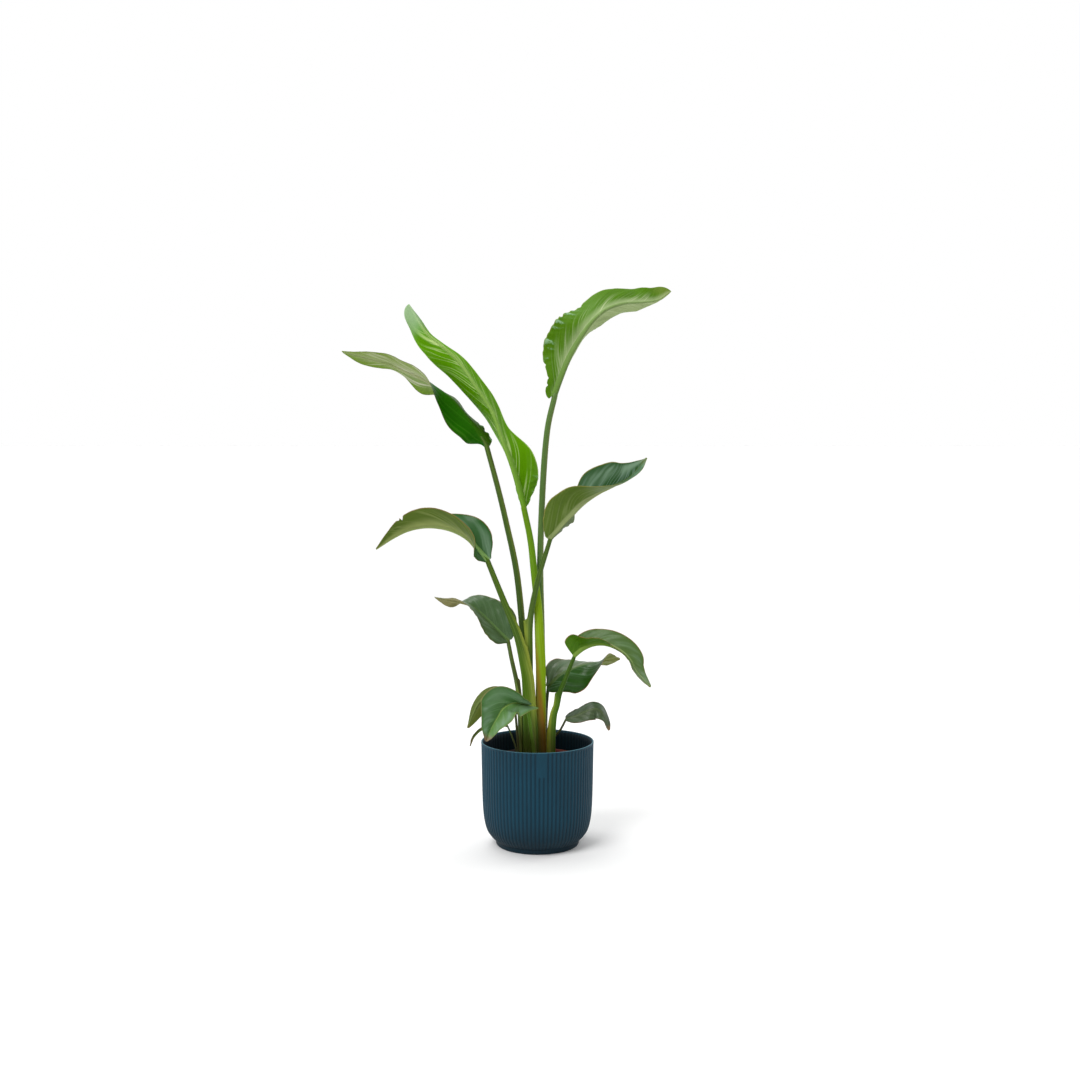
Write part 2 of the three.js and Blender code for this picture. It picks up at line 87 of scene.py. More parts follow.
class Graph:
    def __init__(self, tree):
        self.tree = tree

    # any node: its settings first, then the values or links of its sockets
    def node(self, kind, settings=None, sockets=None, output=0):
        made = self.tree.nodes.new(kind)
        for key, value in (settings or {}).items():
            setattr(made, key, value)
        for key, value in (sockets or {}).items():
            if isinstance(value, Value):
                self.tree.links.new(value.socket, made.inputs[key])
            else:
                made.inputs[key].default_value = value
        return Value(self, made.outputs[output]) if len(made.outputs) else made

    def math(self, operation, *values):
        return self.node("ShaderNodeMath", {"operation": operation}, dict(enumerate(values)))

    def vectorMath(self, operation, sockets):
        return self.node("ShaderNodeVectorMath", {"operation": operation}, sockets)

    def absolute(self, value):
        return self.math("ABSOLUTE", value)

    def attribute(self, name):
        return self.node("ShaderNodeAttribute", {"attribute_name": name}, output="Fac")

    def named(self, name):
        # a float attribute in a geometry tree
        return self.node("GeometryNodeInputNamedAttribute", {"data_type": "FLOAT"}, {0: name})

    def mix(self, share, first, second):
        sockets = {0: share, 6: first, 7: second}
        return self.node("ShaderNodeMix", {"data_type": "RGBA"}, sockets, output=2)

    def between(self, value, low, high):
        # 0 below low, 1 above high, smooth between
        settings = {"interpolation_type": "SMOOTHSTEP"}
        return self.node("ShaderNodeMapRange", settings, {0: value, 1: low, 2: high, 3: 0.0, 4: 1.0})

    def vector(self, x, y, z):
        return self.node("ShaderNodeCombineXYZ", None, {0: x, 1: y, 2: z})

    def axis(self, place, name):
        return self.node("ShaderNodeSeparateXYZ", None, {0: place}, output=name)

    def noise(self, place, scale, detail=2.0, rough=0.5):
        sockets = {"Vector": place, "Scale": scale, "Detail": detail, "Roughness": rough}
        return self.node("ShaderNodeTexNoise", None, sockets)

    def objectPlace(self):
        return self.node("ShaderNodeTexCoord", output="Object")

    def bump(self, height, strength, distance):
        sockets = {"Height": height, "Strength": strength, "Distance": distance}
        return self.node("ShaderNodeBump", None, sockets)

    def surface(self, sockets):
        shader = self.node("ShaderNodeBsdfPrincipled", None, sockets)
        self.node("ShaderNodeOutputMaterial", None, {"Surface": shader})


def newMaterial(name):
    material = bpy.data.materials.new(name)
    material.use_nodes = True
    material.node_tree.nodes.clear()
    return material, Graph(material.node_tree)


# a geometry tree with its inputs, which start with the geometry and end with the material
def newTree(name, inputs):
    tree = bpy.data.node_groups.new(name, "GeometryNodeTree")
    for title, kind, default in [("Geometry", "Geometry", None), *inputs, ("Material", "Material", None)]:
        made = tree.interface.new_socket(title, in_out="INPUT", socket_type="NodeSocket" + kind)
        if default is not None:
            made.default_value = default
    tree.interface.new_socket("Geometry", in_out="OUTPUT", socket_type="NodeSocketGeometry")
    graph = Graph(tree)
    return graph, graph.node("NodeGroupInput")


def endTree(graph, entry, geometry):
    real = graph.node("GeometryNodeRealizeInstances", None, {0: geometry})
    sockets = {"Geometry": real, "Material": entry.output("Material")}
    graph.node("NodeGroupOutput", None, {0: graph.node("GeometryNodeSetMaterial", None, sockets)})
    return graph.tree


# runs a tree on a piece, with its inputs set by the sockets' identifiers, and keeps the plain mesh
def runTree(piece, tree, values):
    modifier = piece.modifiers.new("rule", "NODES")
    modifier.node_group = tree
    for item in tree.interface.items_tree:
        if item.in_out == "INPUT" and item.name in values:
            modifier[item.identifier] = values[item.name]
    evaluated = piece.evaluated_get(bpy.context.evaluated_depsgraph_get())
    finished = bpy.data.meshes.new_from_object(evaluated)
    piece.modifiers.clear()
    piece.data = finished


def newObject(name, points, faces, materials):
    mesh = bpy.data.meshes.new(name)
    mesh.from_pydata([tuple(p) for p in points], [], faces)
    mesh.polygons.foreach_set("use_smooth", [True] * len(mesh.polygons))
    for material in materials:
        mesh.materials.append(material)
    mesh.update()
    made = bpy.data.objects.new(name, mesh)
    bpy.context.scene.collection.objects.link(made)
    return made


def addAttribute(piece, name, values):
    layer = piece.data.attributes.new(name, "FLOAT", "POINT")
    layer.data.foreach_set("value", np.asarray(values, np.float32))


def keep(piece, slot, *nodes):
    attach(piece, "root")
    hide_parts(*nodes)


# faces between rings that each have the same number of points, and the caps of the first and last
def ringFaces(rings, count, start=0):
    faces = []
    for j in range(rings - 1):
        for i in range(count):
            a = start + j * count + i
            b = start + j * count + (i + 1) % count
            faces.append((a, b, b + count, a + count))
    last = start + (rings - 1) * count
    caps = [tuple(range(start, start + count))[::-1], tuple(range(last, last + count))]
    return faces + caps


# a piece turned about Z from rows that start with a radius and a height in mm
def turnedPiece(name, rows, sides, materials, firstTurn=0.0):
    turn = np.arange(sides) / sides * fullTurn + firstTurn
    rows = np.array(rows, float)
    radius = rows[:, 0, None]
    height = np.repeat(rows[:, 1, None], sides, axis=1)
    points = np.stack([radius * np.sin(turn), -radius * np.cos(turn), height], axis=-1) * mm
    return newObject(name, points.reshape(-1, 3), ringFaces(len(rows), sides), materials)


# the smooth curve between a and b with the slopes v0 and v1 there, f from 0 to 1
def hermite(a, b, v0, v1, f):
    return ((2 * a - 2 * b + v0 + v1) * f + (3 * b - 3 * a - 2 * v0 - v1)) * f * f + v0 * f + a


class Route:
    # a smooth line through points, read by the share of its length
    def __init__(self, points, stepsPerPart=80):
        given = np.array(points, float)
        ends = np.vstack([2 * given[0] - given[1], given, 2 * given[-1] - given[-2]])
        parts = []
        f = np.linspace(0, 1, stepsPerPart, endpoint=False)[:, None]
        for k in range(len(given) - 1):
            p0, p1, p2, p3 = ends[k:k + 4]
            parts.append(hermite(p1, p2, (p2 - p0) / 2, (p3 - p1) / 2, f))
        self.points = np.vstack([*parts, given[-1:]])
        steps = np.linalg.norm(np.diff(self.points, axis=0), axis=1)
        lengths = np.concatenate([[0], np.cumsum(steps)])
        self.length = lengths[-1]
        self.shares = lengths / self.length

    def at(self, share):
        axes = [np.interp(share, self.shares, axis) for axis in self.points.T]
        return np.stack(axes, axis=-1)

    def tangent(self, share, step=0.004):
        ahead = self.at(np.minimum(share + step, 1)) - self.at(np.maximum(share - step, 0))
        return unit(ahead)

    # points at even steps of about the given size
    def steps(self, size):
        count = max(2, int(self.length / size))
        return self.at(np.linspace(0, 1, count + 1))


def unit(vectors):
    return vectors / np.linalg.norm(vectors, axis=-1, keepdims=True)


studio = {
    "cameraPlace": (0.005, -2.7, 0.8),
    "cameraDown": 4.3,
    "lens": 46.67,
    "sensorWidth": 36,
    # the sky is white behind the plant and dimmer in front of it, with the change between these Y
    "skyBehind": 1.0,
    "skyFront": 0.42,
    "skyChange": (-0.35, 0.25),
    "floorSize": 200.0,
    "floorColour": rgb(240, 240, 240),
    "floorRoughness": 0.9,
    # a broad sun as the key light: from where, how strong and how wide in degrees
    "sunFrom": (-0.75, -0.95, 1.25),
    "sunStrength": 1.9,
    "sunWidth": 32,
    # where each soft light stands, how wide it is and how strong
    "lights": {
        "topLight": ((-0.5, 0.5, 2.3), 0.9, 14),
        "sideLight": ((1.9, 0.9, 1.5), 0.9, 9),
    },
    "aim": (0, 0, 0.55),
}


def addCamera():
    lens = bpy.data.cameras.new("photoCamera")
    lens.lens = studio["lens"]
    lens.sensor_width = studio["sensorWidth"]
    camera = bpy.data.objects.new("photoCamera", lens)
    camera.location = studio["cameraPlace"]
    camera.rotation_euler = (math.radians(90 - studio["cameraDown"]), 0, 0)
    bpy.context.scene.collection.objects.link(camera)
    bpy.context.scene.camera = camera


def addSky():
    world = bpy.data.worlds.new("studioSky")
    world.use_nodes = True
    world.node_tree.nodes.clear()
    sky = Graph(world.node_tree)
    behind = sky.axis(sky.node("ShaderNodeTexCoord", output="Generated"), "Y")
    brighter = studio["skyBehind"] - studio["skyFront"]
    strength = studio["skyFront"] + sky.between(behind, *studio["skyChange"]) * brighter
    light = sky.node("ShaderNodeBackground", None, {"Color": (1, 1, 1, 1), "Strength": strength})
    sky.node("ShaderNodeOutputWorld", None, {"Surface": light})
    bpy.context.scene.world = world


# a light that stands at a place and shines to another
def addLight(lamp, place, aim):
    away = np.array(aim) - np.array(place)
    tilt = math.acos(-away[2] / np.linalg.norm(away))
    light = bpy.data.objects.new(lamp.name, lamp)
    light.location = place
    light.rotation_euler = (tilt, 0, math.atan2(-away[0], away[1]))
    bpy.context.scene.collection.objects.link(light)


def addLights():
    sun = bpy.data.lights.new("sun", "SUN")
    sun.energy = studio["sunStrength"]
    sun.angle = math.radians(studio["sunWidth"])
    addLight(sun, studio["sunFrom"], (0, 0, 0))
    for name, (place, size, watts) in studio["lights"].items():
        lamp = bpy.data.lights.new(name, "AREA")
        lamp.size = size
        lamp.energy = watts
        addLight(lamp, place, studio["aim"])


def addFloor():
    half = studio["floorSize"] / 2
    material, graph = newMaterial("paleFloor")
    graph.surface({"Base Color": studio["floorColour"], "Roughness": studio["floorRoughness"]})
    corners = [(-half, -half, 0), (half, -half, 0), (half, half, 0), (-half, half, 0)]
    floor = newObject("floor", corners, [(0, 1, 2, 3)], [material])


bpy.context.scene.view_settings.view_transform = "Standard"
addCamera()
addSky()
addLights()
addFloor()
print("camera, light and floor are in place")


pot = {
    "height": 204, "rimRadius": 110, "rimBand": 3.5, "wall": 3, "floorTop": 14,
    # the lip is rounded outside and has a small bevel inside
    "lipRounding": 1.1, "lipBevel": (0.9, 0.2, 0.6),
    # the ribs start at a share of their depth low on the wall and get deeper over so many mm
    "ribs": 84, "ribDepth": 1.3, "footRibs": 0.3, "ribsFrom": 12, "ribsEase": 9,
    "firstGroove": -1.95, "plainGrooves": 2, "grooveShare": 0.38,
    # height and radius up the ribbed wall, the last where the smooth panel starts
    "wallProfile": [(12, 85), (20, 92.5), (33, 100.2), (58, 105.5), (95, 107.8), (158, 109.1)],
    "panelEase": 1.5,
    "footRadius": 81.5, "footHeight": 10.5, "footRounding": 4, "footRing": 8, "footHollow": 0.8,
    # the ribs' share that shows inside, and from how far above the floor the inner wall is even
    "insideDepth": 0.35, "insideFrom": 6,
    "pointsPerRib": 10, "rowStep": 3.4, "insideStep": 9, "footSteps": 5, "lipSteps": 4,
    # the grooves, the foot and the inside are darkened by painted shade, and the lip has a painted
    # highlight
    "plastic": (rgb(6, 54, 71), rgb(9, 59, 77)), "grooveShade": rgb(0, 33, 48),
    "lipHighlight": rgb(84, 132, 146), "footShadeColour": rgb(6, 26, 34), "insideShadeColour": rgb(2, 10, 14),
    "roughness": 0.5, "specular": 0.22, "index": 1.46,
}
centreRadius = 0.5  # a turned piece closes with a small flat cap


# rows of [radius, height, how deep the ribs are there, how much of the panel's smoothness]
def potRows():
    top = pot["height"]
    lipZ = top - pot["rimBand"]
    rim = pot["rimRadius"]
    foot = pot["footRadius"]
    rounding = pot["footRounding"]
    hollow = pot["footHollow"]
    ring = foot - pot["footRing"]
    # a hollow underside, the ring that it stands on and the foot's rounded edge
    rows = [(centreRadius, hollow, 0, 0), (ring - 1, hollow, 0, 0), (ring, 0, 0, 0),
            (foot - rounding - 1, 0, 0, 0)]
    for k in range(pot["footSteps"] + 1):
        turn = math.radians(90 * k / pot["footSteps"])
        reach = foot - rounding + rounding * math.sin(turn)
        rows.append((reach, rounding - rounding * math.cos(turn), 0, 0))
    rows += [(foot, pot["footHeight"] - 0.6, 0, 0), (foot + 0.3, pot["footHeight"], 0, 0)]
    panelZ = pot["wallProfile"][-1][0]
    ease = pot["panelEase"]
    for z, radius in Route(pot["wallProfile"]).steps(pot["rowStep"]):
        rise = min(1, max(0, (z - pot["ribsFrom"]) / pot["ribsEase"]))
        depth = pot["footRibs"] + (1 - pot["footRibs"]) * rise
        rows.append((radius, z, depth, min(1, max(0, (z - panelZ + ease) / ease))))
    # the grooves run out just under the plain lip band
    rows += [(rim - 0.25, lipZ - 1.2, 1, 1), (rim - 0.1, lipZ - 0.4, 0.45, 1), (rim, lipZ, 0, 1)]

    # the rounded lip and the bevel inside it
    lip = pot["lipRounding"]
    rows.append((rim, top - lip, 0, 1))
    for k in range(1, pot["lipSteps"] + 1):
        turn = math.radians(90 * k / pot["lipSteps"])
        rows.append((rim - lip + lip * math.cos(turn), top - lip + lip * math.sin(turn), 0, 1))
    inner = rim - pot["wall"]
    wide, narrow, drop = pot["lipBevel"]
    rows += [(inner + wide, top, 0, 1), (inner + narrow, top - drop, 0, 1), (inner - narrow, top - 3, 0, 1)]

    # the inner wall, down to the floor
    lining = Route([*pot["wallProfile"][1:], (top - 5, rim - 0.3)]).steps(pot["insideStep"])
    setBack = pot["wall"] + pot["ribDepth"]
    for z, radius in lining[::-1]:
        if z > pot["floorTop"] + pot["insideFrom"]:
            rows.append((radius - setBack, z, -pot["insideDepth"], 0))
    corner = pot["wallProfile"][1][1] - setBack
    rows += [(corner - 2, pot["floorTop"] + 3, 0, 0), (corner - 6, pot["floorTop"], 0, 0)]
    rows.append((centreRadius, pot["floorTop"], 0, 0))
    return rows


# grooves cut by rule into a smooth turned wall
def ribTree():
    graph, entry = newTree("potRibs", [
        ("Ribs", "Int", 84), ("Depth", "Float", 0.001), ("First Groove", "Float", 0.0),
        ("Left Out", "Int", 2), ("Groove Share", "Float", 0.3),
    ])
    place = graph.node("GeometryNodeInputPosition")
    turn = graph.math("ARCTAN2", graph.axis(place, "X"), graph.axis(place, "Y") * -1)
    counted = (turn - entry.output("First Groove")) * entry.output("Ribs") / fullTurn
    nearest = graph.math("ROUND", counted)
    cut = 1 - graph.between(graph.absolute(counted - nearest), 0.0, entry.output("Groove Share"))
    leftOut = entry.output("Left Out")
    plain = graph.math("COMPARE", nearest, (leftOut + 1) / 2, leftOut / 2) * graph.named("panel")
    depth = entry.output("Depth") * graph.named("ribbed") * cut * (1 - plain)
    flat = graph.vectorMath("MULTIPLY", {0: place, 1: (1, 1, 0)})
    outward = graph.vectorMath("NORMALIZE", {0: flat})
    push = graph.vectorMath("SCALE", {0: outward, "Scale": depth * -1})
    moved = graph.node("GeometryNodeSetPosition", None, {"Geometry": entry, "Offset": push})
    stored = graph.node("GeometryNodeStoreNamedAttribute", {"data_type": "FLOAT", "domain": "POINT"},
                        {"Geometry": moved, "Name": "groove", "Value": cut * (1 - plain)})
    return endTree(graph, entry, stored)


def potMaterial():
    material, graph = newMaterial("bluePlastic")
    place = graph.objectPlace()
    cloud = graph.noise(place, 14.0, 3.0)
    grain = graph.noise(place, 900.0, 2.0)
    colour = graph.mix(graph.between(cloud, 0.3, 0.7), *pot["plastic"])
    # painted shade darkens the grooves
    colour = graph.mix(graph.attribute("groove") * 0.8, colour, pot["grooveShade"])
    height = graph.axis(place, "Z")
    # painted highlight along the lip's rounded top
    lip = graph.between(height, (pot["height"] - 0.9) * mm, (pot["height"] - 0.2) * mm)
    colour = graph.mix(lip * 0.6, colour, pot["lipHighlight"])
    # painted shade darkens the pot towards its foot
    colour = graph.mix(graph.between(height, 0.09, 0.0) * 0.7, colour, pot["footShadeColour"])
    # the ribs are negative on the inside, which is darkened by painted shade
    inside = graph.between(graph.attribute("ribbed"), -0.1, -0.3)
    colour = graph.mix(inside * 0.75, colour, pot["insideShadeColour"])
    graph.surface({"Base Color": colour, "Roughness": pot["roughness"] + cloud * 0.16, "IOR": pot["index"],
                   "Specular IOR Level": pot["specular"], "Normal": graph.bump(grain, 0.12, 0.0002)})
    return material


def makePot():
    count = pot["ribs"] * pot["pointsPerRib"]
    firstGroove = math.radians(pot["firstGroove"])
    rows = potRows()
    piece = turnedPiece("coverPot", rows, count, [], firstGroove)
    addAttribute(piece, "ribbed", np.repeat([row[2] for row in rows], count))
    addAttribute(piece, "panel", np.repeat([row[3] for row in rows], count))
    runTree(piece, ribTree(), {
        "Ribs": pot["ribs"], "Depth": pot["ribDepth"] * mm, "First Groove": firstGroove,
        "Left Out": pot["plainGrooves"], "Groove Share": pot["grooveShare"], "Material": potMaterial(),
    })
    keep(piece, "cover_pot", "cover_pot")


makePot()
print("the cover pot is turned and ribbed")


nursery = {
    "rimZ": 168, "rimRadius": 91, "lipHeight": 9, "lipRadius": 93, "bottomRadius": 68, "wall": 1.6,
    "low": 14.3, "sides": 144,
    "plastic": (rgb(84, 26, 14), rgb(106, 36, 20)), "dust": rgb(76, 48, 34), "leftRimShade": rgb(24, 18, 16),
    # painted shade darkens the rim's left side, from none to most between these X in metres
    "leftShadeFrom": 0.02, "leftShadeTo": -0.03,
    "roughness": 0.55, "specular": 0.25,
}


def nurseryMaterial():
    material, graph = newMaterial("terracottaPlastic")
    place = graph.objectPlace()
    cloud = graph.noise(place, 22.0, 3.0)
    colour = graph.mix(graph.between(cloud, 0.3, 0.7), *nursery["plastic"])
    dust = graph.between(graph.noise(place, 60.0, 4.0), 0.58, 0.72)
    colour = graph.mix(dust * 0.5, colour, nursery["dust"])
    # painted shade darkens the left of the rim
    leftShade = graph.between(graph.axis(place, "X"), nursery["leftShadeFrom"], nursery["leftShadeTo"])
    colour = graph.mix(leftShade * 0.85, colour, nursery["leftRimShade"])
    graph.surface({"Base Color": colour, "Roughness": nursery["roughness"] + dust * 0.3,
                   "Specular IOR Level": nursery["specular"],
                   "Normal": graph.bump(graph.noise(place, 700.0), 0.1, 0.0002)})
    return material


def makeNurseryPot():
    low, rimZ, wall = nursery["low"], nursery["rimZ"], nursery["wall"]
    rim, outer, base = nursery["rimRadius"], nursery["lipRadius"], nursery["bottomRadius"]
    underLip = rimZ - nursery["lipHeight"]
    inner = rim - wall
    innerBase = base - wall
    profile = [
        # the bottom and the outer wall
        (centreRadius, low), (base - 3, low), (base - 1, low + 0.5), (base - 0.2, low + 2),
        (rim - 0.6, underLip - 1), (rim, underLip),
        # the rolled lip
        (outer - 0.6, underLip), (outer, underLip + 0.6), (outer + 0.3, rimZ - 1.2),
        (outer + 0.1, rimZ - 0.4), (outer - 0.5, rimZ), (inner + 1.2, rimZ), (inner + 0.4, rimZ - 0.6),
        # the inner wall and the floor
        (inner, underLip + 1), (inner - 1, underLip - 1), (innerBase, low + 3),
        (innerBase - 2, low + wall), (centreRadius, low + wall),
    ]
    piece = turnedPiece("nurseryPot", profile, nursery["sides"], [nurseryMaterial()])
    keep(piece, "nursery_pot", "nursery_pot")


soil = {
    "top": 155, "mound": 5, "edgeRadius": 86.2, "bottomRadius": 66, "low": 17, "sides": 120, "rings": 34,
    # how far the edge lies under the top, and how much the whole surface does, to leave room for chips
    "edgeDrop": 4, "chipRoom": 0.6,
    # lumps are the sum of so many waves of about this height, which die away towards the edge
    "waves": 24, "waveHeight": 0.28, "calmEdge": 8, "seed": 7,
    "chips": 3600, "chipSize": (0.9, 3.6), "chipShape": (1.0, 0.62, 0.34), "chipTilt": 0.7,
    "crumbs": (rgb(34, 24, 17), rgb(84, 62, 44)), "patch": rgb(58, 45, 34), "fleck": rgb(150, 130, 104),
    "roughness": 0.92,
}


def soilMaterial():
    material, graph = newMaterial("pottingMix")
    place = graph.objectPlace()
    crumbs = graph.noise(place, 260.0, 5.0, 0.65)
    patch = graph.noise(place, 45.0, 3.0)
    colour = graph.mix(graph.between(crumbs, 0.35, 0.68), *soil["crumbs"])
    colour = graph.mix(graph.between(patch, 0.5, 0.75) * 0.5, colour, soil["patch"])
    fleck = graph.between(graph.noise(place, 420.0, 1.0), 0.7, 0.76)
    colour = graph.mix(fleck * 0.6, colour, soil["fleck"])
    graph.surface({"Base Color": colour, "Roughness": soil["roughness"],
                   "Normal": graph.bump(crumbs, 0.8, 0.0012)})
    return material


# bark and peat scattered over the top of the soil
def chipTree():
    graph, entry = newTree("soilChips", [
        ("Chips", "Float", 100000.0), ("Seed", "Int", 1), ("Small", "Float", 0.001),
        ("Large", "Float", 0.003),
    ])
    seed = entry.output("Seed")
    spread = graph.node("GeometryNodeDistributePointsOnFaces", {"distribute_method": "RANDOM"}, {
        "Mesh": entry, "Density": entry.output("Chips"), "Seed": seed, "Selection": graph.named("openTop"),
    })
    chip = graph.node("GeometryNodeMeshIcoSphere", None, {"Radius": 1.0, "Subdivisions": 1})
    shaped = graph.node("GeometryNodeTransform", None, {"Geometry": chip, "Scale": soil["chipShape"]})
    tilt = soil["chipTilt"]
    turn = graph.node("FunctionNodeRandomValue", {"data_type": "FLOAT_VECTOR"},
                      {0: (-tilt, -tilt, 0.0), 1: (tilt, tilt, 6.28), "Seed": seed})
    size = graph.node("FunctionNodeRandomValue", {"data_type": "FLOAT"},
                      {2: 0.0, 3: 1.0, "Seed": seed + 3}, output=1)
    small = entry.output("Small")
    scale = small + (entry.output("Large") - small) * size ** 3
    placed = graph.node("GeometryNodeInstanceOnPoints", None,
                        {"Points": spread, "Instance": shaped, "Rotation": turn, "Scale": scale})
    joined = graph.node("GeometryNodeJoinGeometry", None, {0: placed})
    graph.tree.links.new(entry.socket, joined.socket.node.inputs[0])
    return endTree(graph, entry, joined)


def makeSoil():
    edge, sides, rings = soil["edgeRadius"], soil["sides"], soil["rings"]
    shoulder = soil["top"] - soil["edgeDrop"]
    profile = [(centreRadius, soil["low"]), (soil["bottomRadius"], soil["low"]), (edge, shoulder - 2)]
    closedRows = len(profile)
    for k in range(rings + 1):
        share = 1 - k / rings
        height = shoulder + soil["mound"] * (1 - share ** 2) - soil["chipRoom"]
        profile.append((max(centreRadius, edge * share), height))
    piece = turnedPiece("pottingMix", profile, sides, [])
    top = np.zeros(len(piece.data.vertices))
    top[closedRows * sides:] = 1
    generator = np.random.default_rng(soil["seed"])
    waves = [(generator.uniform(0.05, 0.35), generator.uniform(0, 6.28), generator.uniform(0, 6.28))
             for _ in range(soil["waves"])]
    for vertex, isTop in zip(piece.data.vertices, top):
        if isTop:
            x, y = vertex.co.x / mm, vertex.co.y / mm
            lump = sum(math.sin(k * (x * math.cos(a) + y * math.sin(a)) + b) for k, a, b in waves)
            calm = min(1, (edge - math.hypot(x, y)) / soil["calmEdge"] + 0.1)
            vertex.co.z += lump * soil["waveHeight"] * mm * calm
    addAttribute(piece, "openTop", top)
    small, large = soil["chipSize"]
    runTree(piece, chipTree(), {
        "Chips": soil["chips"] / (math.pi * (edge * mm) ** 2), "Seed": soil["seed"],
        "Small": small * mm, "Large": large * mm, "Material": soilMaterial(),
    })
    keep(piece, "soil", "soil")


makeNurseryPot()
makeSoil()
print("the nursery pot is filled")


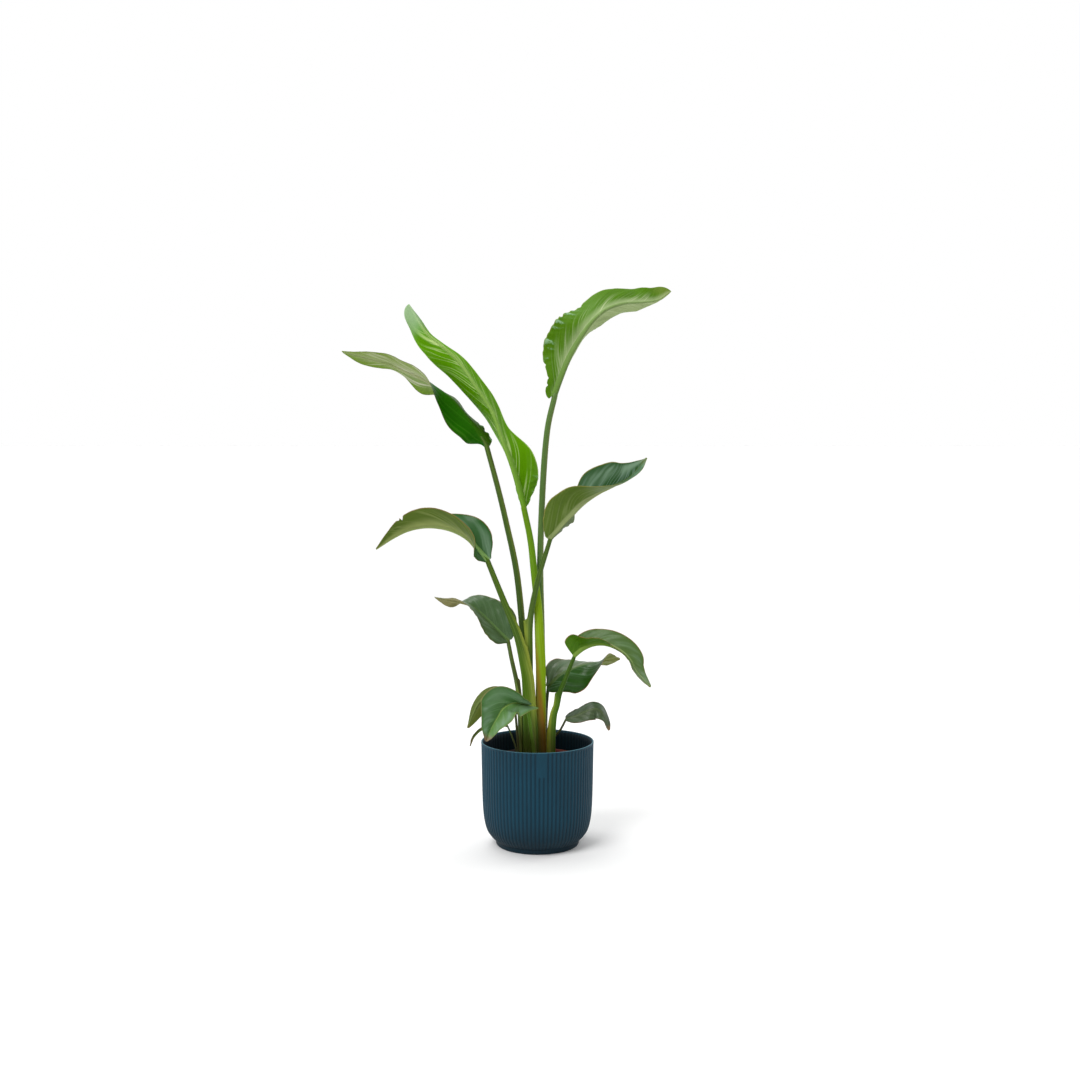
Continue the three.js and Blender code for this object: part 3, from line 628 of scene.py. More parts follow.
# Millimetres and degrees. The stalk runs from the soil to the blade, with its girth, half widths
# across and deep, at even steps. opens is which way its sheath opens at the foot, from the front
# towards the right. The rib is the blade's midrib. The half blades, left and right as seen from the
# front, are given from stalk to tip by a width and a lean, where 0 lies flat to the front. upper is 1
# where the upper face looks to the front and -1 where it looks back. curl is how far each half bends on
# towards its margin, and lobe how far its base reaches back past the stalk. wave gives the size, the
# number and the start of the margin's waves.
leaves = {
    "leaf_top_right": {
        "stalk": [(10, 16, 155), (9, 16, 300), (7, 16, 431), (5.5, 16, 555), (10.5, 17, 700),
                  (19, 17, 807), (31, 18, 875)],
        "girth": [(7.5, 6.5), (7.5, 6.5), (7, 6.5), (6, 6), (6, 6), (5.5, 5.5)],
        "rib": [(32, 18, 877), (48, 22, 919), (63, 28, 954), (83, 35, 988), (106, 44, 1019),
                (134, 55, 1043), (169, 68, 1056), (208, 84, 1060), (238, 98, 1066), (265, 108, 1084)],
        "left": [(18, -25), (25, -20), (56, -20), (58, -8), (60, -45), (54, -47), (47, -45), (33, -32),
                 (20, -20)],
        "right": [(18, -75), (38, -82), (50, -87), (54, -84), (52, -77), (46, -64), (34, -70), (20, -80),
                  (10, -70)],
        "opens": -110, "upper": -1, "curl": (-18, -30), "lobe": (10, 6), "wave": (3, 3.5, 0.4),
    },
    "leaf_top_centre": {
        "stalk": [(6.5, 0, 155), (6, 0, 284), (5.6, 0, 363), (1.5, 0, 461), (-6.5, 1, 537),
                  (-13.5, 3, 597), (-24, 5, 659)],
        "girth": [(10.5, 6.5), (10.5, 6.5), (10.2, 6), (8, 5.5), (6.5, 5.5), (5.5, 5.5)],
        "rib": [(-25, 5, 661), (-45, -2, 732), (-68, -8, 794), (-87, -14, 845), (-119, -22, 894),
                (-150, -28, 939), (-184, -34, 970), (-212, -40, 995), (-241, -50, 1044)],
        "left": [(16, -70), (32, -80), (42, -82), (48, -74), (48, -60), (46, -42), (37, -26), (28, -33),
                 (17, -10)],
        "right": [(22, -45), (45, -26), (54, -33), (46, -70), (44, -65), (38, -72), (32, -78), (22, -76),
                  (9, -84)],
        "opens": -70, "upper": -1, "curl": (-20, 30), "lobe": (6, 0), "wave": (1.5, 3, 0),
    },
    "leaf_top_left": {
        "stalk": [(-22, 18, 155), (-23, 17, 320), (-30, 15, 431), (-41, 12, 536), (-60, 9, 628),
                  (-77, 5, 700), (-97, 0, 776)],
        "girth": [(7, 6.5), (7, 6.5), (6.5, 6), (6, 5.5), (5.5, 5), (5, 5)],
        "rib": [(-98, 0, 778), (-110, -3, 801), (-129, -5, 829), (-156, -5, 862), (-183, -3, 885),
                (-208, 0, 902), (-233, 6, 914), (-261, 12, 925), (-288, 20, 937), (-320, 30, 945),
                (-381, 50, 962)],
        "left": [(14, -60), (36, 22), (44, 25), (42, 54), (42, 104), (38, 118), (28, 117), (16, 109),
                 (6, 110)],
        "right": [(20, -45), (30, -65), (42, -88), (44, -90), (42, -130), (40, -106), (33, -112),
                  (22, -121), (11, -117)],
        "opens": 80, "upper": 1, "curl": (15, -10), "lobe": (4, 3), "wave": (2, 2.5, 1),
    },
    "leaf_mid_left": {
        "stalk": [(-12, -16, 155), (-12.5, -16, 220), (-17, -17, 313), (-23, -18, 354), (-38, -20, 415),
                  (-63, -24, 477), (-95, -30, 559)],
        "girth": [(14, 6), (14, 6.5), (10.5, 6), (6.5, 5), (5, 5)],
        "rib": [(-95, -30, 561), (-113, -35, 582), (-130, -41, 602), (-153, -48, 617), (-180, -56, 626),
                (-212, -63, 628), (-244, -69, 621), (-273, -76, 606), (-302, -85, 586)],
        "left": [(12, 30), (25, 58), (40, 100), (47, 118), (54, 132), (44, 139), (29, 144), (14, 140),
                 (5, 135)],
        "right": [(13, 10), (32, 10), (43, 5), (38, -30), (35, -60), (32, -70), (24, -70), (14, -65),
                  (6, -60)],
        "opens": 88, "upper": 1, "curl": (20, -15), "lobe": (0, 2), "wave": (2, 3, 2),
    },
    "leaf_low_left": {
        "stalk": [(-32, 0, 155), (-32, 0, 230), (-34, 1, 274), (-40, 1, 317), (-50, 0, 363),
                  (-57, 0, 401)],
        "girth": [(6, 5.5), (6, 5.5), (4.5, 4.5), (3.8, 3.8)],
        "rib": [(-57, 0, 402), (-75, 1, 419), (-92, 4, 436), (-110, 8, 453), (-131, 12, 469),
                (-155, 18, 475), (-179, 26, 478), (-202, 40, 481)],
        "left": [(12, 30), (31, 50), (37, 63), (36, 72), (34, 88), (26, 104), (20, 105), (14, 105),
                 (7, 100)],
        "right": [(20, 0), (41, -5), (49, -16), (47, -26), (40, -40), (28, -80), (24, -125), (18, -140),
                  (8, -140)],
        "opens": 70, "upper": 1, "curl": (-15, -20), "lobe": (3, 4), "wave": (2, 3, 0.5),
    },
    "leaf_mid_right": {
        "stalk": [(-13, 1, 155), (-14, 1, 250), (-17.5, 0, 323), (-16.8, -2, 383), (-15, -7, 434),
                  (-9, -14, 475), (3, -19, 528), (23, -30, 601)],
        "girth": [(6, 5), (8.2, 5), (9, 5), (6.5, 5), (5, 4.5), (4.2, 4.2)],
        "rib": [(24, -30, 603), (43, -38, 624), (64, -46, 648), (86, -51, 671), (115, -52, 690),
                (143, -48, 703), (176, -42, 720), (208, -35, 756)],
        "left": [(17, -10), (37, -12), (49, -5), (48, 22), (52, 66), (44, 90), (24, 96), (15, 108),
                 (5, 118)],
        "right": [(12, -70), (34, -75), (36, -66), (30, -128), (46, -164), (46, -176), (36, -182),
                  (17, -175), (4, -160)],
        "opens": -60, "upper": -1, "curl": (-15, -15), "lobe": (5, 8), "wave": (2, 2.5, 0),
    },
    "leaf_low_right": {
        "stalk": [(26, -9, 155), (26.5, -9, 215), (30.5, -9, 255), (37, -9, 275), (43, -10, 299),
                  (56, -15, 333), (69, -20, 372)],
        "girth": [(8, 5.5), (8.4, 5.5), (5, 4.5), (3.6, 3.6)],
        "rib": [(70, -20, 374), (88, -24, 390), (111, -30, 399), (135, -38, 399), (160, -47, 388),
                (177, -55, 372), (188, -62, 352), (215, -70, 322)],
        "left": [(29, -5), (36, 5), (37, 56), (35, 64), (32, 87), (28, 92), (21, 101), (9, 118),
                 (4, 120)],
        "right": [(16, -88), (28, -130), (31, -150), (30, -152), (30, -160), (29, -155), (22, -135),
                  (13, -130), (6, -130)],
        "opens": -65, "upper": -1, "curl": (-10, -15), "lobe": (0, 4), "wave": (1.5, 3, 1),
    },
    "leaf_low_back": {
        "stalk": [(16, 36, 155), (17, 35, 250), (20, 30, 304)],
        "girth": [(3.5, 3.5), (3.2, 3.2), (3, 3)],
        "rib": [(21, 30, 306), (43, 33, 327), (65, 37, 338), (91, 43, 347), (125, 50, 352),
                (164, 58, 355)],
        "left": [(10, -30), (38, -36), (42, -70), (36, -92), (34, -115), (12, -120)],
        "right": [(20, 0), (43, 0), (48, 8), (36, 56), (34, 124), (12, 120)],
        "opens": -120, "upper": 1, "curl": (-10, -15), "lobe": (4, 8), "wave": (1.5, 3, 0),
    },
    "leaf_small_right": {
        "stalk": [(28, 10, 155), (28, 10, 190), (33, 10, 208), (45, 10, 223), (55, 10, 245)],
        "girth": [(2.4, 2.4), (2.2, 2.2), (2, 2)],
        "rib": [(56, 10, 246), (76, 5, 252), (100, 0, 264), (118, 0, 266), (133, -5, 250),
                (140, -5, 225)],
        "left": [(12, -60), (20, -64), (22, -62), (18, -60), (12, -65), (6, -50)],
        "right": [(10, 50), (19, 55), (22, 38), (21, 10), (11, 50), (5, 40)],
        "opens": -60, "upper": 1, "curl": (-15, -15), "lobe": (2, 2), "wave": (1, 2.5, 0),
    },
    "leaf_low_front": {
        "stalk": [(-5, -40, 155), (-6, -41, 194), (-11, -44, 228), (-17, -48, 264), (-18, -50, 281)],
        "girth": [(4.4, 3.2), (3.6, 3), (2.8, 2.8)],
        "rib": [(-19, -50, 284), (-44, -58, 290), (-64, -70, 282), (-75, -88, 268), (-86, -105, 251),
                (-96, -120, 229)],
        "left": [(18, 78), (34, 48), (38, 48), (34, 46), (20, 40), (8, 30)],
        "right": [(20, 60), (38, 60), (46, 12), (40, 10), (23, 20), (8, 20)],
        "opens": 160, "upper": 1, "curl": (-15, -15), "lobe": (22, 6), "wave": (1.5, 2.5, 1),
    },
    "leaf_small_left": {
        "stalk": [(-37, -20, 155), (-37, -19, 189), (-42, -8, 250), (-45, 0, 268)],
        "girth": [(2.4, 2.4), (2.3, 2.3), (2.2, 2.2)],
        "rib": [(-45, 0, 269), (-62, 0, 289), (-87, -5, 295), (-113, -10, 280), (-136, -15, 232)],
        "left": [(16, 0), (26, -10), (28, 0), (24, 0), (14, 0), (6, 0)],
        "right": [(14, -60), (22, -60), (24, -60), (20, -60), (12, -60), (5, -60)],
        "opens": 80, "upper": -1, "curl": (-15, -15), "lobe": (3, 3), "wave": (1, 2.5, 0),
    },
    "leaf_dry_left": {
        "stalk": [(-40, -32, 155), (-41, -32, 192), (-50, -30, 221), (-58, -25, 237)],
        "girth": [(1.7, 1.7), (1.6, 1.6)],
        "rib": [(-59, -25, 238), (-82, -10, 243), (-109, -2, 229), (-125, 0, 213), (-132, 0, 193)],
        "left": [(3, 0), (4.6, 20), (5, 20), (4.6, 20), (3.6, 20), (2, 20)],
        "right": [(3, 60), (4, 60), (4.4, 60), (4, 60), (3.4, 60), (2, 60)],
        "opens": 80, "upper": 1, "curl": (20, 20), "lobe": (0, 0), "wave": (0.6, 2, 0),
    },
}

# What sets the leaves apart. The two faces, top and below, each have a colour for the left half, one
# for the right half and a pale one for the streaks, and streaks says how strong these are on each. On
# the glossy leaves the top face's pale streak colour is partly a painted sheen.
# band is how far the paleness beside the midrib goes, below, on the left and right half, with its
# width. rib is the midrib's colour above, and on its left and right flank below. crinkle is the size
# of a crumpled margin, from and to which share of the length, on which half, 0 for both, and how far
# out it starts. bites are at a share of the length and as deep as a share of the width. pleats have a
# size and a spacing. veins have their slope, their spacing and how soon they fade towards the margin.
# sheen is a painted sheen, a pale highlight in the middle of the upper face's left and right half.
# tip gives from where its colour comes in, how strongly and the colour. shine is how much both faces
# reflect. stalk gives the colours of the petiole and the sheath, at which share of the stalk the sheath
# ends and the size of the points that it ends in. edge is a tint at the stalk's left (-1) or right (1)
# as seen from the front, how much it widens downwards, and from and to which height it goes.
plainLook = {
    "streaks": (0.3, 0.3), "band": (0.2, 0.2, 0.4), "crinkle": (0.6, 0.0, 0.3, 0, 0.6), "bites": [],
    "sheen": (0.2, 0.2), "edge": (rgb(92, 74, 48), 1, 0.0, 200, 260),
}
looks = {
    "leaf_top_right": {
        "top": (rgb(52, 96, 28), rgb(52, 96, 28), rgb(110, 140, 90)),
        "below": (rgb(72, 114, 6), rgb(136, 154, 100), rgb(164, 180, 132)),
        "rib": (rgb(110, 140, 70), rgb(90, 126, 44), rgb(76, 104, 34)), "margin": rgb(120, 140, 60),
        "tip": (0.9, 0.4, rgb(128, 140, 66)), "streaks": (0.3, 1.0), "band": (0.75, 0.5, 0.4),
        "veins": (1.5, 12, 0.8), "pleats": (0.2, 24), "crinkle": (3.1, 0.16, 0.5, 1, 0.4),
        "bites": [(0.055, 0.14), (0.09, 0.1), (0.15, 0.08)], "sheen": (0.0, 0.0), "shine": 0.08,
        "stalk": (rgb(84, 114, 56), rgb(80, 112, 34), 0.1, 0.0),
        "edge": (rgb(116, 122, 66), 1, 0.0, 240, 900),
    },
    "leaf_top_centre": {
        "top": (rgb(84, 140, 22), rgb(84, 140, 22), rgb(150, 184, 90)),
        "below": (rgb(90, 150, 0), rgb(88, 144, 0), rgb(194, 220, 140)),
        "rib": (rgb(118, 168, 44), rgb(98, 144, 26), rgb(84, 134, 4)), "margin": rgb(166, 192, 104),
        "tip": (0.88, 0.75, rgb(168, 196, 156)), "streaks": (0.3, 1.0), "band": (0.75, 0.8, 0.14),
        "veins": (1.7, 24, 1.2), "pleats": (0.14, 30), "crinkle": (1.6, 0.0, 0.12, -1, 0.35),
        "sheen": (0.0, 0.0), "shine": 0.05, "stalk": (rgb(96, 138, 10), rgb(124, 158, 0), 0.72, 0.0),
        "edge": (rgb(140, 92, 20), -1, 1.9, 190, 420),
    },
    "leaf_top_left": {
        "top": (rgb(26, 90, 0), rgb(54, 86, 12), rgb(84, 138, 40)),
        "below": (rgb(118, 142, 62), rgb(104, 136, 42), rgb(214, 212, 192)),
        "rib": (rgb(50, 98, 14), rgb(156, 166, 114), rgb(150, 160, 108)), "margin": rgb(84, 84, 30),
        "tip": (0.62, 0.45, rgb(112, 136, 50)), "streaks": (0.35, 1.0), "band": (0.4, 0.25, 1.0),
        "veins": (3.4, 46, 2.4), "pleats": (0.25, 40), "crinkle": (2.0, 0.0, 0.1, -1, 0.35),
        "sheen": (0.0, 0.0), "shine": 0.03, "stalk": (rgb(64, 90, 34), rgb(72, 108, 10), 0.3, 0.0),
        "edge": (rgb(122, 120, 70), 1, 0.0, 440, 800),
    },
    "leaf_mid_left": {
        "top": (rgb(30, 84, 10), rgb(28, 84, 10), rgb(110, 144, 110)),
        "below": (rgb(76, 98, 16), rgb(76, 98, 16), rgb(144, 156, 88)),
        "rib": (rgb(134, 172, 96), rgb(134, 152, 88), rgb(110, 128, 60)), "margin": rgb(142, 108, 58),
        "tip": (0.93, 0.2, rgb(140, 132, 70)), "streaks": (0.6, 1.0), "band": (0.9, 0.4, 0.6),
        "veins": (1.6, 17, 1.2), "pleats": (0.3, 26), "crinkle": (0.8, 0.0, 0.2, 0, 0.6),
        "bites": [(0.735, 0.3), (0.76, 0.16)], "sheen": (0.2, 0.8), "shine": 0.26,
        "stalk": (rgb(66, 94, 24), rgb(64, 98, 4), 0.56, 0.4),
        "edge": (rgb(150, 160, 62), 1, 0.2, 290, 470),
    },
    "leaf_low_left": {
        "top": (rgb(68, 90, 48), rgb(64, 92, 50), rgb(104, 128, 96)),
        "below": (rgb(126, 122, 72), rgb(126, 122, 72), rgb(156, 158, 112)),
        "rib": (rgb(94, 124, 66), rgb(130, 132, 80), rgb(130, 132, 80)), "margin": rgb(128, 118, 66),
        "tip": (0.93, 0.3, rgb(130, 126, 70)), "streaks": (0.4, 0.4), "veins": (1.4, 13, 1.1),
        "pleats": (0.4, 27), "crinkle": (0.6, 0.1, 0.6, 0, 0.6), "sheen": (0.3, 0.2), "shine": 0.26,
        "stalk": (rgb(74, 92, 46), rgb(88, 114, 50), 0.68, 1.5),
        "edge": (rgb(112, 104, 68), 1, 0.1, 300, 420),
    },
    "leaf_mid_right": {
        "top": (rgb(58, 96, 60), rgb(46, 88, 40), rgb(134, 160, 146)),
        "below": (rgb(74, 98, 20), rgb(68, 90, 34), rgb(164, 174, 122)),
        "rib": (rgb(120, 146, 78), rgb(118, 132, 80), rgb(78, 98, 46)), "margin": rgb(150, 140, 66),
        "tip": (0.95, 0.4, rgb(150, 130, 72)), "streaks": (0.8, 0.25), "band": (1.0, 0.0, 0.18),
        "veins": (1.5, 15, 1.3), "pleats": (0.14, 20), "crinkle": (1.2, 0.0, 0.2, 0, 0.6),
        "sheen": (0.9, 1.0), "shine": 0.24, "stalk": (rgb(66, 92, 30), rgb(66, 96, 8), 0.63, 2.4),
        "edge": (rgb(150, 166, 62), -1, 0.4, 380, 465),
    },
    "leaf_low_right": {
        "top": (rgb(70, 98, 34), rgb(78, 106, 48), rgb(122, 148, 104)),
        "below": (rgb(60, 102, 0), rgb(80, 118, 30), rgb(112, 144, 44)),
        "rib": (rgb(156, 176, 108), rgb(112, 142, 54), rgb(92, 130, 40)), "margin": rgb(158, 106, 66),
        "tip": (0.93, 0.25, rgb(140, 128, 70)), "streaks": (0.45, 0.25), "band": (0.3, 0.2, 0.3),
        "veins": (1.4, 14, 1.1), "pleats": (0.5, 32), "sheen": (0.3, 0.35), "shine": 0.2,
        "stalk": (rgb(52, 86, 12), rgb(70, 110, 14), 0.64, 1.7),
        "edge": (rgb(156, 160, 40), -1, 0.5, 200, 300),
    },
    "leaf_low_back": {
        # the left half's greyish top colour is a painted reflection of the bright surround
        "top": (rgb(74, 90, 56), rgb(34, 76, 4), rgb(104, 134, 104)),
        "below": (rgb(112, 124, 54), rgb(112, 124, 54), rgb(150, 150, 90)),
        "rib": (rgb(78, 102, 46), rgb(110, 120, 60), rgb(110, 120, 60)), "margin": rgb(156, 96, 66),
        "tip": (0.93, 0.2, rgb(140, 118, 64)), "streaks": (0.6, 0.3), "veins": (1.3, 17, 1.1),
        "pleats": (0.8, 34), "sheen": (0.35, 0.06), "shine": 0.32,
        "stalk": (rgb(46, 58, 34), rgb(50, 60, 34), 0.1, 0.0),
        "edge": (rgb(60, 60, 40), 1, 0.0, 200, 300),
    },
    "leaf_small_right": {
        "top": (rgb(50, 66, 40), rgb(58, 72, 44), rgb(120, 130, 104)),
        "below": (rgb(108, 120, 78), rgb(108, 120, 78), rgb(140, 154, 112)),
        "rib": (rgb(76, 92, 54), rgb(84, 104, 62), rgb(84, 104, 62)), "margin": rgb(150, 92, 66),
        "tip": (0.9, 0.9, rgb(120, 92, 58)), "band": (0.3, 0.3, 0.4), "veins": (1.3, 10, 1.1),
        "pleats": (0.25, 18), "crinkle": (0.4, 0.0, 0.3, 0, 0.6), "shine": 0.28,
        "stalk": (rgb(74, 78, 44), rgb(58, 70, 32), 0.1, 0.0),
    },
    "leaf_low_front": {
        "top": (rgb(86, 126, 58), rgb(66, 108, 50), rgb(124, 160, 114)),
        "below": (rgb(70, 112, 8), rgb(72, 112, 20), rgb(140, 168, 110)),
        "rib": (rgb(150, 180, 98), rgb(96, 130, 44), rgb(96, 130, 44)), "margin": rgb(134, 124, 74),
        "tip": (0.9, 0.8, rgb(116, 82, 62)), "streaks": (0.5, 0.3), "veins": (1.3, 13, 1.1),
        "pleats": (0.45, 30), "crinkle": (0.5, 0.0, 0.3, 0, 0.6), "sheen": (0.8, 1.0), "shine": 0.32,
        "stalk": (rgb(88, 132, 26), rgb(92, 136, 30), 0.1, 0.0),
        "edge": (rgb(80, 70, 44), 1, 0.0, 200, 260),
    },
    "leaf_small_left": {
        "top": (rgb(72, 92, 28), rgb(72, 92, 28), rgb(120, 134, 70)),
        "below": (rgb(78, 92, 26), rgb(78, 94, 30), rgb(120, 134, 76)),
        "rib": (rgb(96, 116, 56), rgb(96, 116, 56), rgb(96, 116, 56)), "margin": rgb(138, 120, 66),
        "tip": (0.93, 0.4, rgb(130, 112, 62)), "band": (0.4, 0.4, 0.4), "veins": (1.3, 10, 1.0),
        "pleats": (0.12, 14), "crinkle": (0.4, 0.0, 0.3, 0, 0.6), "shine": 0.22,
        "stalk": (rgb(64, 72, 34), rgb(48, 60, 24), 0.1, 0.0),
    },
    "leaf_dry_left": {
        "top": (rgb(84, 104, 48), rgb(84, 104, 48), rgb(140, 140, 88)),
        "below": (rgb(96, 108, 56), rgb(96, 108, 56), rgb(140, 140, 88)),
        "rib": (rgb(104, 104, 58), rgb(104, 104, 58), rgb(104, 104, 58)), "margin": rgb(140, 124, 80),
        "tip": (0.8, 0.6, rgb(120, 100, 62)), "veins": (1.3, 9, 1.0), "pleats": (0.1, 9),
        "crinkle": (0.3, 0.0, 1.0, 0, 0.6), "sheen": (0.0, 0.0), "shine": 0.1,
        "stalk": (rgb(58, 84, 52), rgb(54, 80, 46), 0.1, 0.0),
    },
}

blade = {
    "thickness": 0.8, "marginThickness": 0.36, "rowStep": 1.9, "strips": 22, "ribColumns": 10,
    # the last columns before the margin, as shares of the half blade, and how thin the margin ends
    "marginColumns": (0.965, 0.985, 1.0), "marginEnd": 0.55,
    "tipHalfWidth": 1.4,
    # the midrib narrows towards the tip by this power, to this least half width, and its groove above
    # and ridge below are shares of its half width
    "ribTaper": 0.8, "ribLeast": 0.5, "ribGroove": 0.25, "ribRidge": 1.5,
    # side veins bend further towards the tip near the margin
    "veinBend": 0.35,
    # the margin's waves are smaller on a half blade narrower than this, and differ left and right
    "fullWave": 20, "waveShift": 2,
    # a second, finer set of pleats: its size and spacing as shares of the first
    "finePleats": (0.35, 0.41),
    # the crumpled margin's long and short folds in mm, and how much of it the other half has
    "folds": (3.4, 2.1), "otherHalf": 0.25,
    "biteLength": 0.006,
}
front = np.array([0.0, -1.0, 0.0])


# a smooth value through evenly spaced steps, u from 0 to 1
def smoothThrough(values, u):
    values = np.asarray(values, float)
    last = len(values) - 1
    i = np.minimum((u * last).astype(int), last - 1)
    a = values[i]
    b = values[i + 1]
    before = np.where(i > 0, values[np.maximum(i - 1, 0)], 2 * a - b)
    after = np.where(i + 2 <= last, values[np.minimum(i + 2, last)], 2 * b - a)
    return hermite(a, b, (b - before) / 2, (after - a) / 2, u * last - i)


class BladeFrames:
    # the midrib's points and directions at the steps u along it
    def __init__(self, leaf, u):
        self.leaf = leaf
        self.u = np.asarray(u, float)
        self.share = (1 - np.cos(np.pi * self.u)) / 2
        route = Route(leaf["rib"])
        self.run = self.share * route.length
        self.centre = route.at(self.share)
        self.tangent = route.tangent(self.share)
        self.left = unit(np.cross(front, self.tangent))
        self.toFront = unit(np.cross(self.tangent, self.left))
        ribBase = leaf["girth"][-1][0]
        self.ribHalf = ribBase * (1 - self.share) ** blade["ribTaper"] * 0.9 + blade["ribLeast"]
        root = np.zeros(1)
        towards = [self.half(side, root)[1][:, 0] for side in (1, -1)]
        self.upperNormal = unit(towards[0] + towards[1]) * leaf["upper"]

    # points, directions and widths of one half blade, a row for each u and a column for each reach
    def half(self, side, reach):
        leaf = self.leaf
        steps = leaf["left"] if side > 0 else leaf["right"]
        widths, leans = zip(*steps)
        width = smoothThrough([0, *widths, blade["tipHalfWidth"]], self.u)
        # both halves start as wide as the midrib
        width = width + (self.ribHalf + 1) * smoothThrough([1] + [0] * (len(steps) + 1), self.u)
        lean = np.radians(smoothThrough([leans[0], *leans, leans[-1]], self.u))[:, None]
        number = 0 if side > 0 else 1
        curl = math.radians(leaf["curl"][number])
        swingSize, swingCount, phase = leaf["wave"]
        wide = width[:, None]
        ribHalf = self.ribHalf[:, None]
        share = self.share[:, None]
        distance = ribHalf + (wide - ribHalf) * reach[None, :]
        s = distance / wide
        # the half blade bends along an arc from the midrib to its margin
        start = lean - curl / 2
        angle = start + curl * s
        along = wide * (np.sin(angle) - np.sin(start)) / curl
        rise = wide * (np.cos(start) - np.cos(angle)) / curl
        outward = (self.left * side)[:, None, :]
        normal = np.cos(angle)[..., None] * self.toFront[:, None, :] - np.sin(angle)[..., None] * outward
        swing = swingSize * s ** 2 * np.minimum(1, wide / blade["fullWave"])
        swing = swing * np.sin(fullTurn * swingCount * share + phase + number * blade["waveShift"])
        # the base reaches back past the stalk along the first part of the midrib
        back = leaf["lobe"][number] * s * np.maximum(0, 1 - share / 0.3) ** 2
        point = (self.centre[:, None, :] + outward * along[..., None]
                 + self.toFront[:, None, :] * rise[..., None] + normal * swing[..., None]
                 - self.tangent[:, None, :] * back[..., None])
        return point, normal, distance, s


# smooth swings of about -1 to 1 along one coordinate, different for each seed
def softNoise(values, seed):
    total = np.zeros_like(values)
    for k in range(5):
        rate = 0.37 + 0.41 * ((seed * 13 + k * 7) % 11) / 11 + 0.55 * k
        total = total + np.sin(values * rate + seed * 1.7 + k * 2.3) / (1 + 0.5 * k)
    return total / 2


# fine relief on top of the blade's form, pleats along the side veins and a crumpled margin, and how
# far each place is on a crest of the crumpled margin, where highlights are painted
def reliefOf(look, frames, side, s, vein, seed):
    size, spacing = look["pleats"]
    fineSize, fineSpacing = blade["finePleats"]
    # the pleats fade out at the midrib, towards the margin and at both ends
    fadeAcross = np.clip(s * 4 - 0.3, 0, 1) * (1 - 0.55 * s ** 2)
    fadeAlong = np.clip(np.sin(np.pi * frames.u) * 2.2, 0, 1)[:, None]
    pleats = np.sin(fullTurn * vein / spacing + softNoise(vein / 9, seed))
    pleats = pleats + fineSize * np.sin(fullTurn * vein / (spacing * fineSpacing) + seed)
    pleats = size * fadeAcross * fadeAlong * pleats
    height, low, high, where, inner = look["crinkle"]
    longFold, shortFold = blade["folds"]
    share = frames.share[:, None]
    run = frames.run[:, None]
    # the crumpled part starts and ends softly and gets stronger towards the margin
    span = np.clip((share - low + 0.02) / 0.03, 0, 1) * np.clip((high - share) / 0.06 + 1, 0, 1)
    if where not in (0, side):
        span = span * blade["otherHalf"]
    edge = np.clip((s - inner) / (1 - inner), 0, 1) ** 1.3 * span
    swing = softNoise(run / longFold, seed + 2) + 0.5 * np.sin(run / shortFold + s * 11)
    return pleats + height * edge * swing, edge * np.clip(swing, 0, 1) * np.clip(height - 1.2, 0, 1)


# small cuts in the left half's margin, as shares of its width
def bitesOf(look, frames, side):
    cut = np.zeros_like(frames.share)
    for place, depth in look["bites"] if side > 0 else []:
        cut = np.maximum(cut, depth * np.exp(-((frames.share - place) / blade["biteLength"]) ** 2))
    return cut[:, None]


# the blade's two layers of points and its fields, from the left margin to the right one
def bladeParts(leaf, look, seed):
    rows = int(Route(leaf["rib"]).length / blade["rowStep"])
    frames = BladeFrames(leaf, np.linspace(0, 1, rows + 1))
    sideReach = np.concatenate([np.linspace(0, 0.94, blade["strips"]), blade["marginColumns"]])
    columns = {field: [] for field in ("upper", "lower", "across", "vein", "ridge", "crest")}

    def addColumn(**values):
        for field, value in values.items():
            columns[field].append(value)

    def addSide(side, order):
        point, normal, distance, s = frames.half(side, sideReach)
        centre = frames.centre[:, None, :]
        point = centre + (point - centre) * (1 - bitesOf(look, frames, side) * s ** 6)[..., None]
        width = distance / s
        vein = frames.run[:, None] - distance * look["veins"][0] - distance ** 2 / width * blade["veinBend"]
        relief, crest = reliefOf(look, frames, side, s, vein, seed + (side > 0))
        point = point + normal * relief[..., None]
        thick = blade["thickness"] + (blade["marginThickness"] - blade["thickness"]) * s
        thick = thick * np.where(sideReach > 0.99, blade["marginEnd"], 1)[None, :]
        offset = normal * (thick / 2 * leaf["upper"])[..., None]
        for k in order:
            ridge = np.clip(1 - sideReach[k] / 0.03, 0, 1) * np.full(rows + 1, 0.5)
            addColumn(upper=(point + offset)[:, k], lower=(point - offset)[:, k], across=s[:, k] * side,
                      vein=vein[:, k], ridge=ridge, crest=crest[:, k])

    # the midrib is a round ridge below and a shallow groove above
    def addRib():
        roots = {side: frames.half(side, np.zeros(1)) for side in (1, -1)}
        half = blade["thickness"] / 2
        for k in range(1, blade["ribColumns"]):
            c = 1 - 2 * k / blade["ribColumns"]
            point, normal, _, s = (part[:, 0] for part in roots[1 if c >= 0 else -1])
            share = abs(c)
            base = frames.centre * (1 - share) + point * share
            ribUp = unit(frames.upperNormal * (1 - share) + normal * leaf["upper"] * share)
            bulge = np.sqrt(1 - c * c)
            groove = half - frames.ribHalf * blade["ribGroove"] * (1 - c * c)
            ridge = -half - frames.ribHalf * blade["ribRidge"] * bulge
            addColumn(upper=base + ribUp * groove[:, None], lower=base + ribUp * ridge[:, None],
                      across=s * c * 0.9, vein=frames.run, ridge=np.full(rows + 1, 0.6 + 0.4 * bulge),
                      crest=np.zeros(rows + 1))

    count = len(sideReach)
    addSide(1, range(count - 1, -1, -1))
    addRib()
    addSide(-1, range(count))
    return frames, {name: np.stack(parts, axis=1) for name, parts in columns.items()}


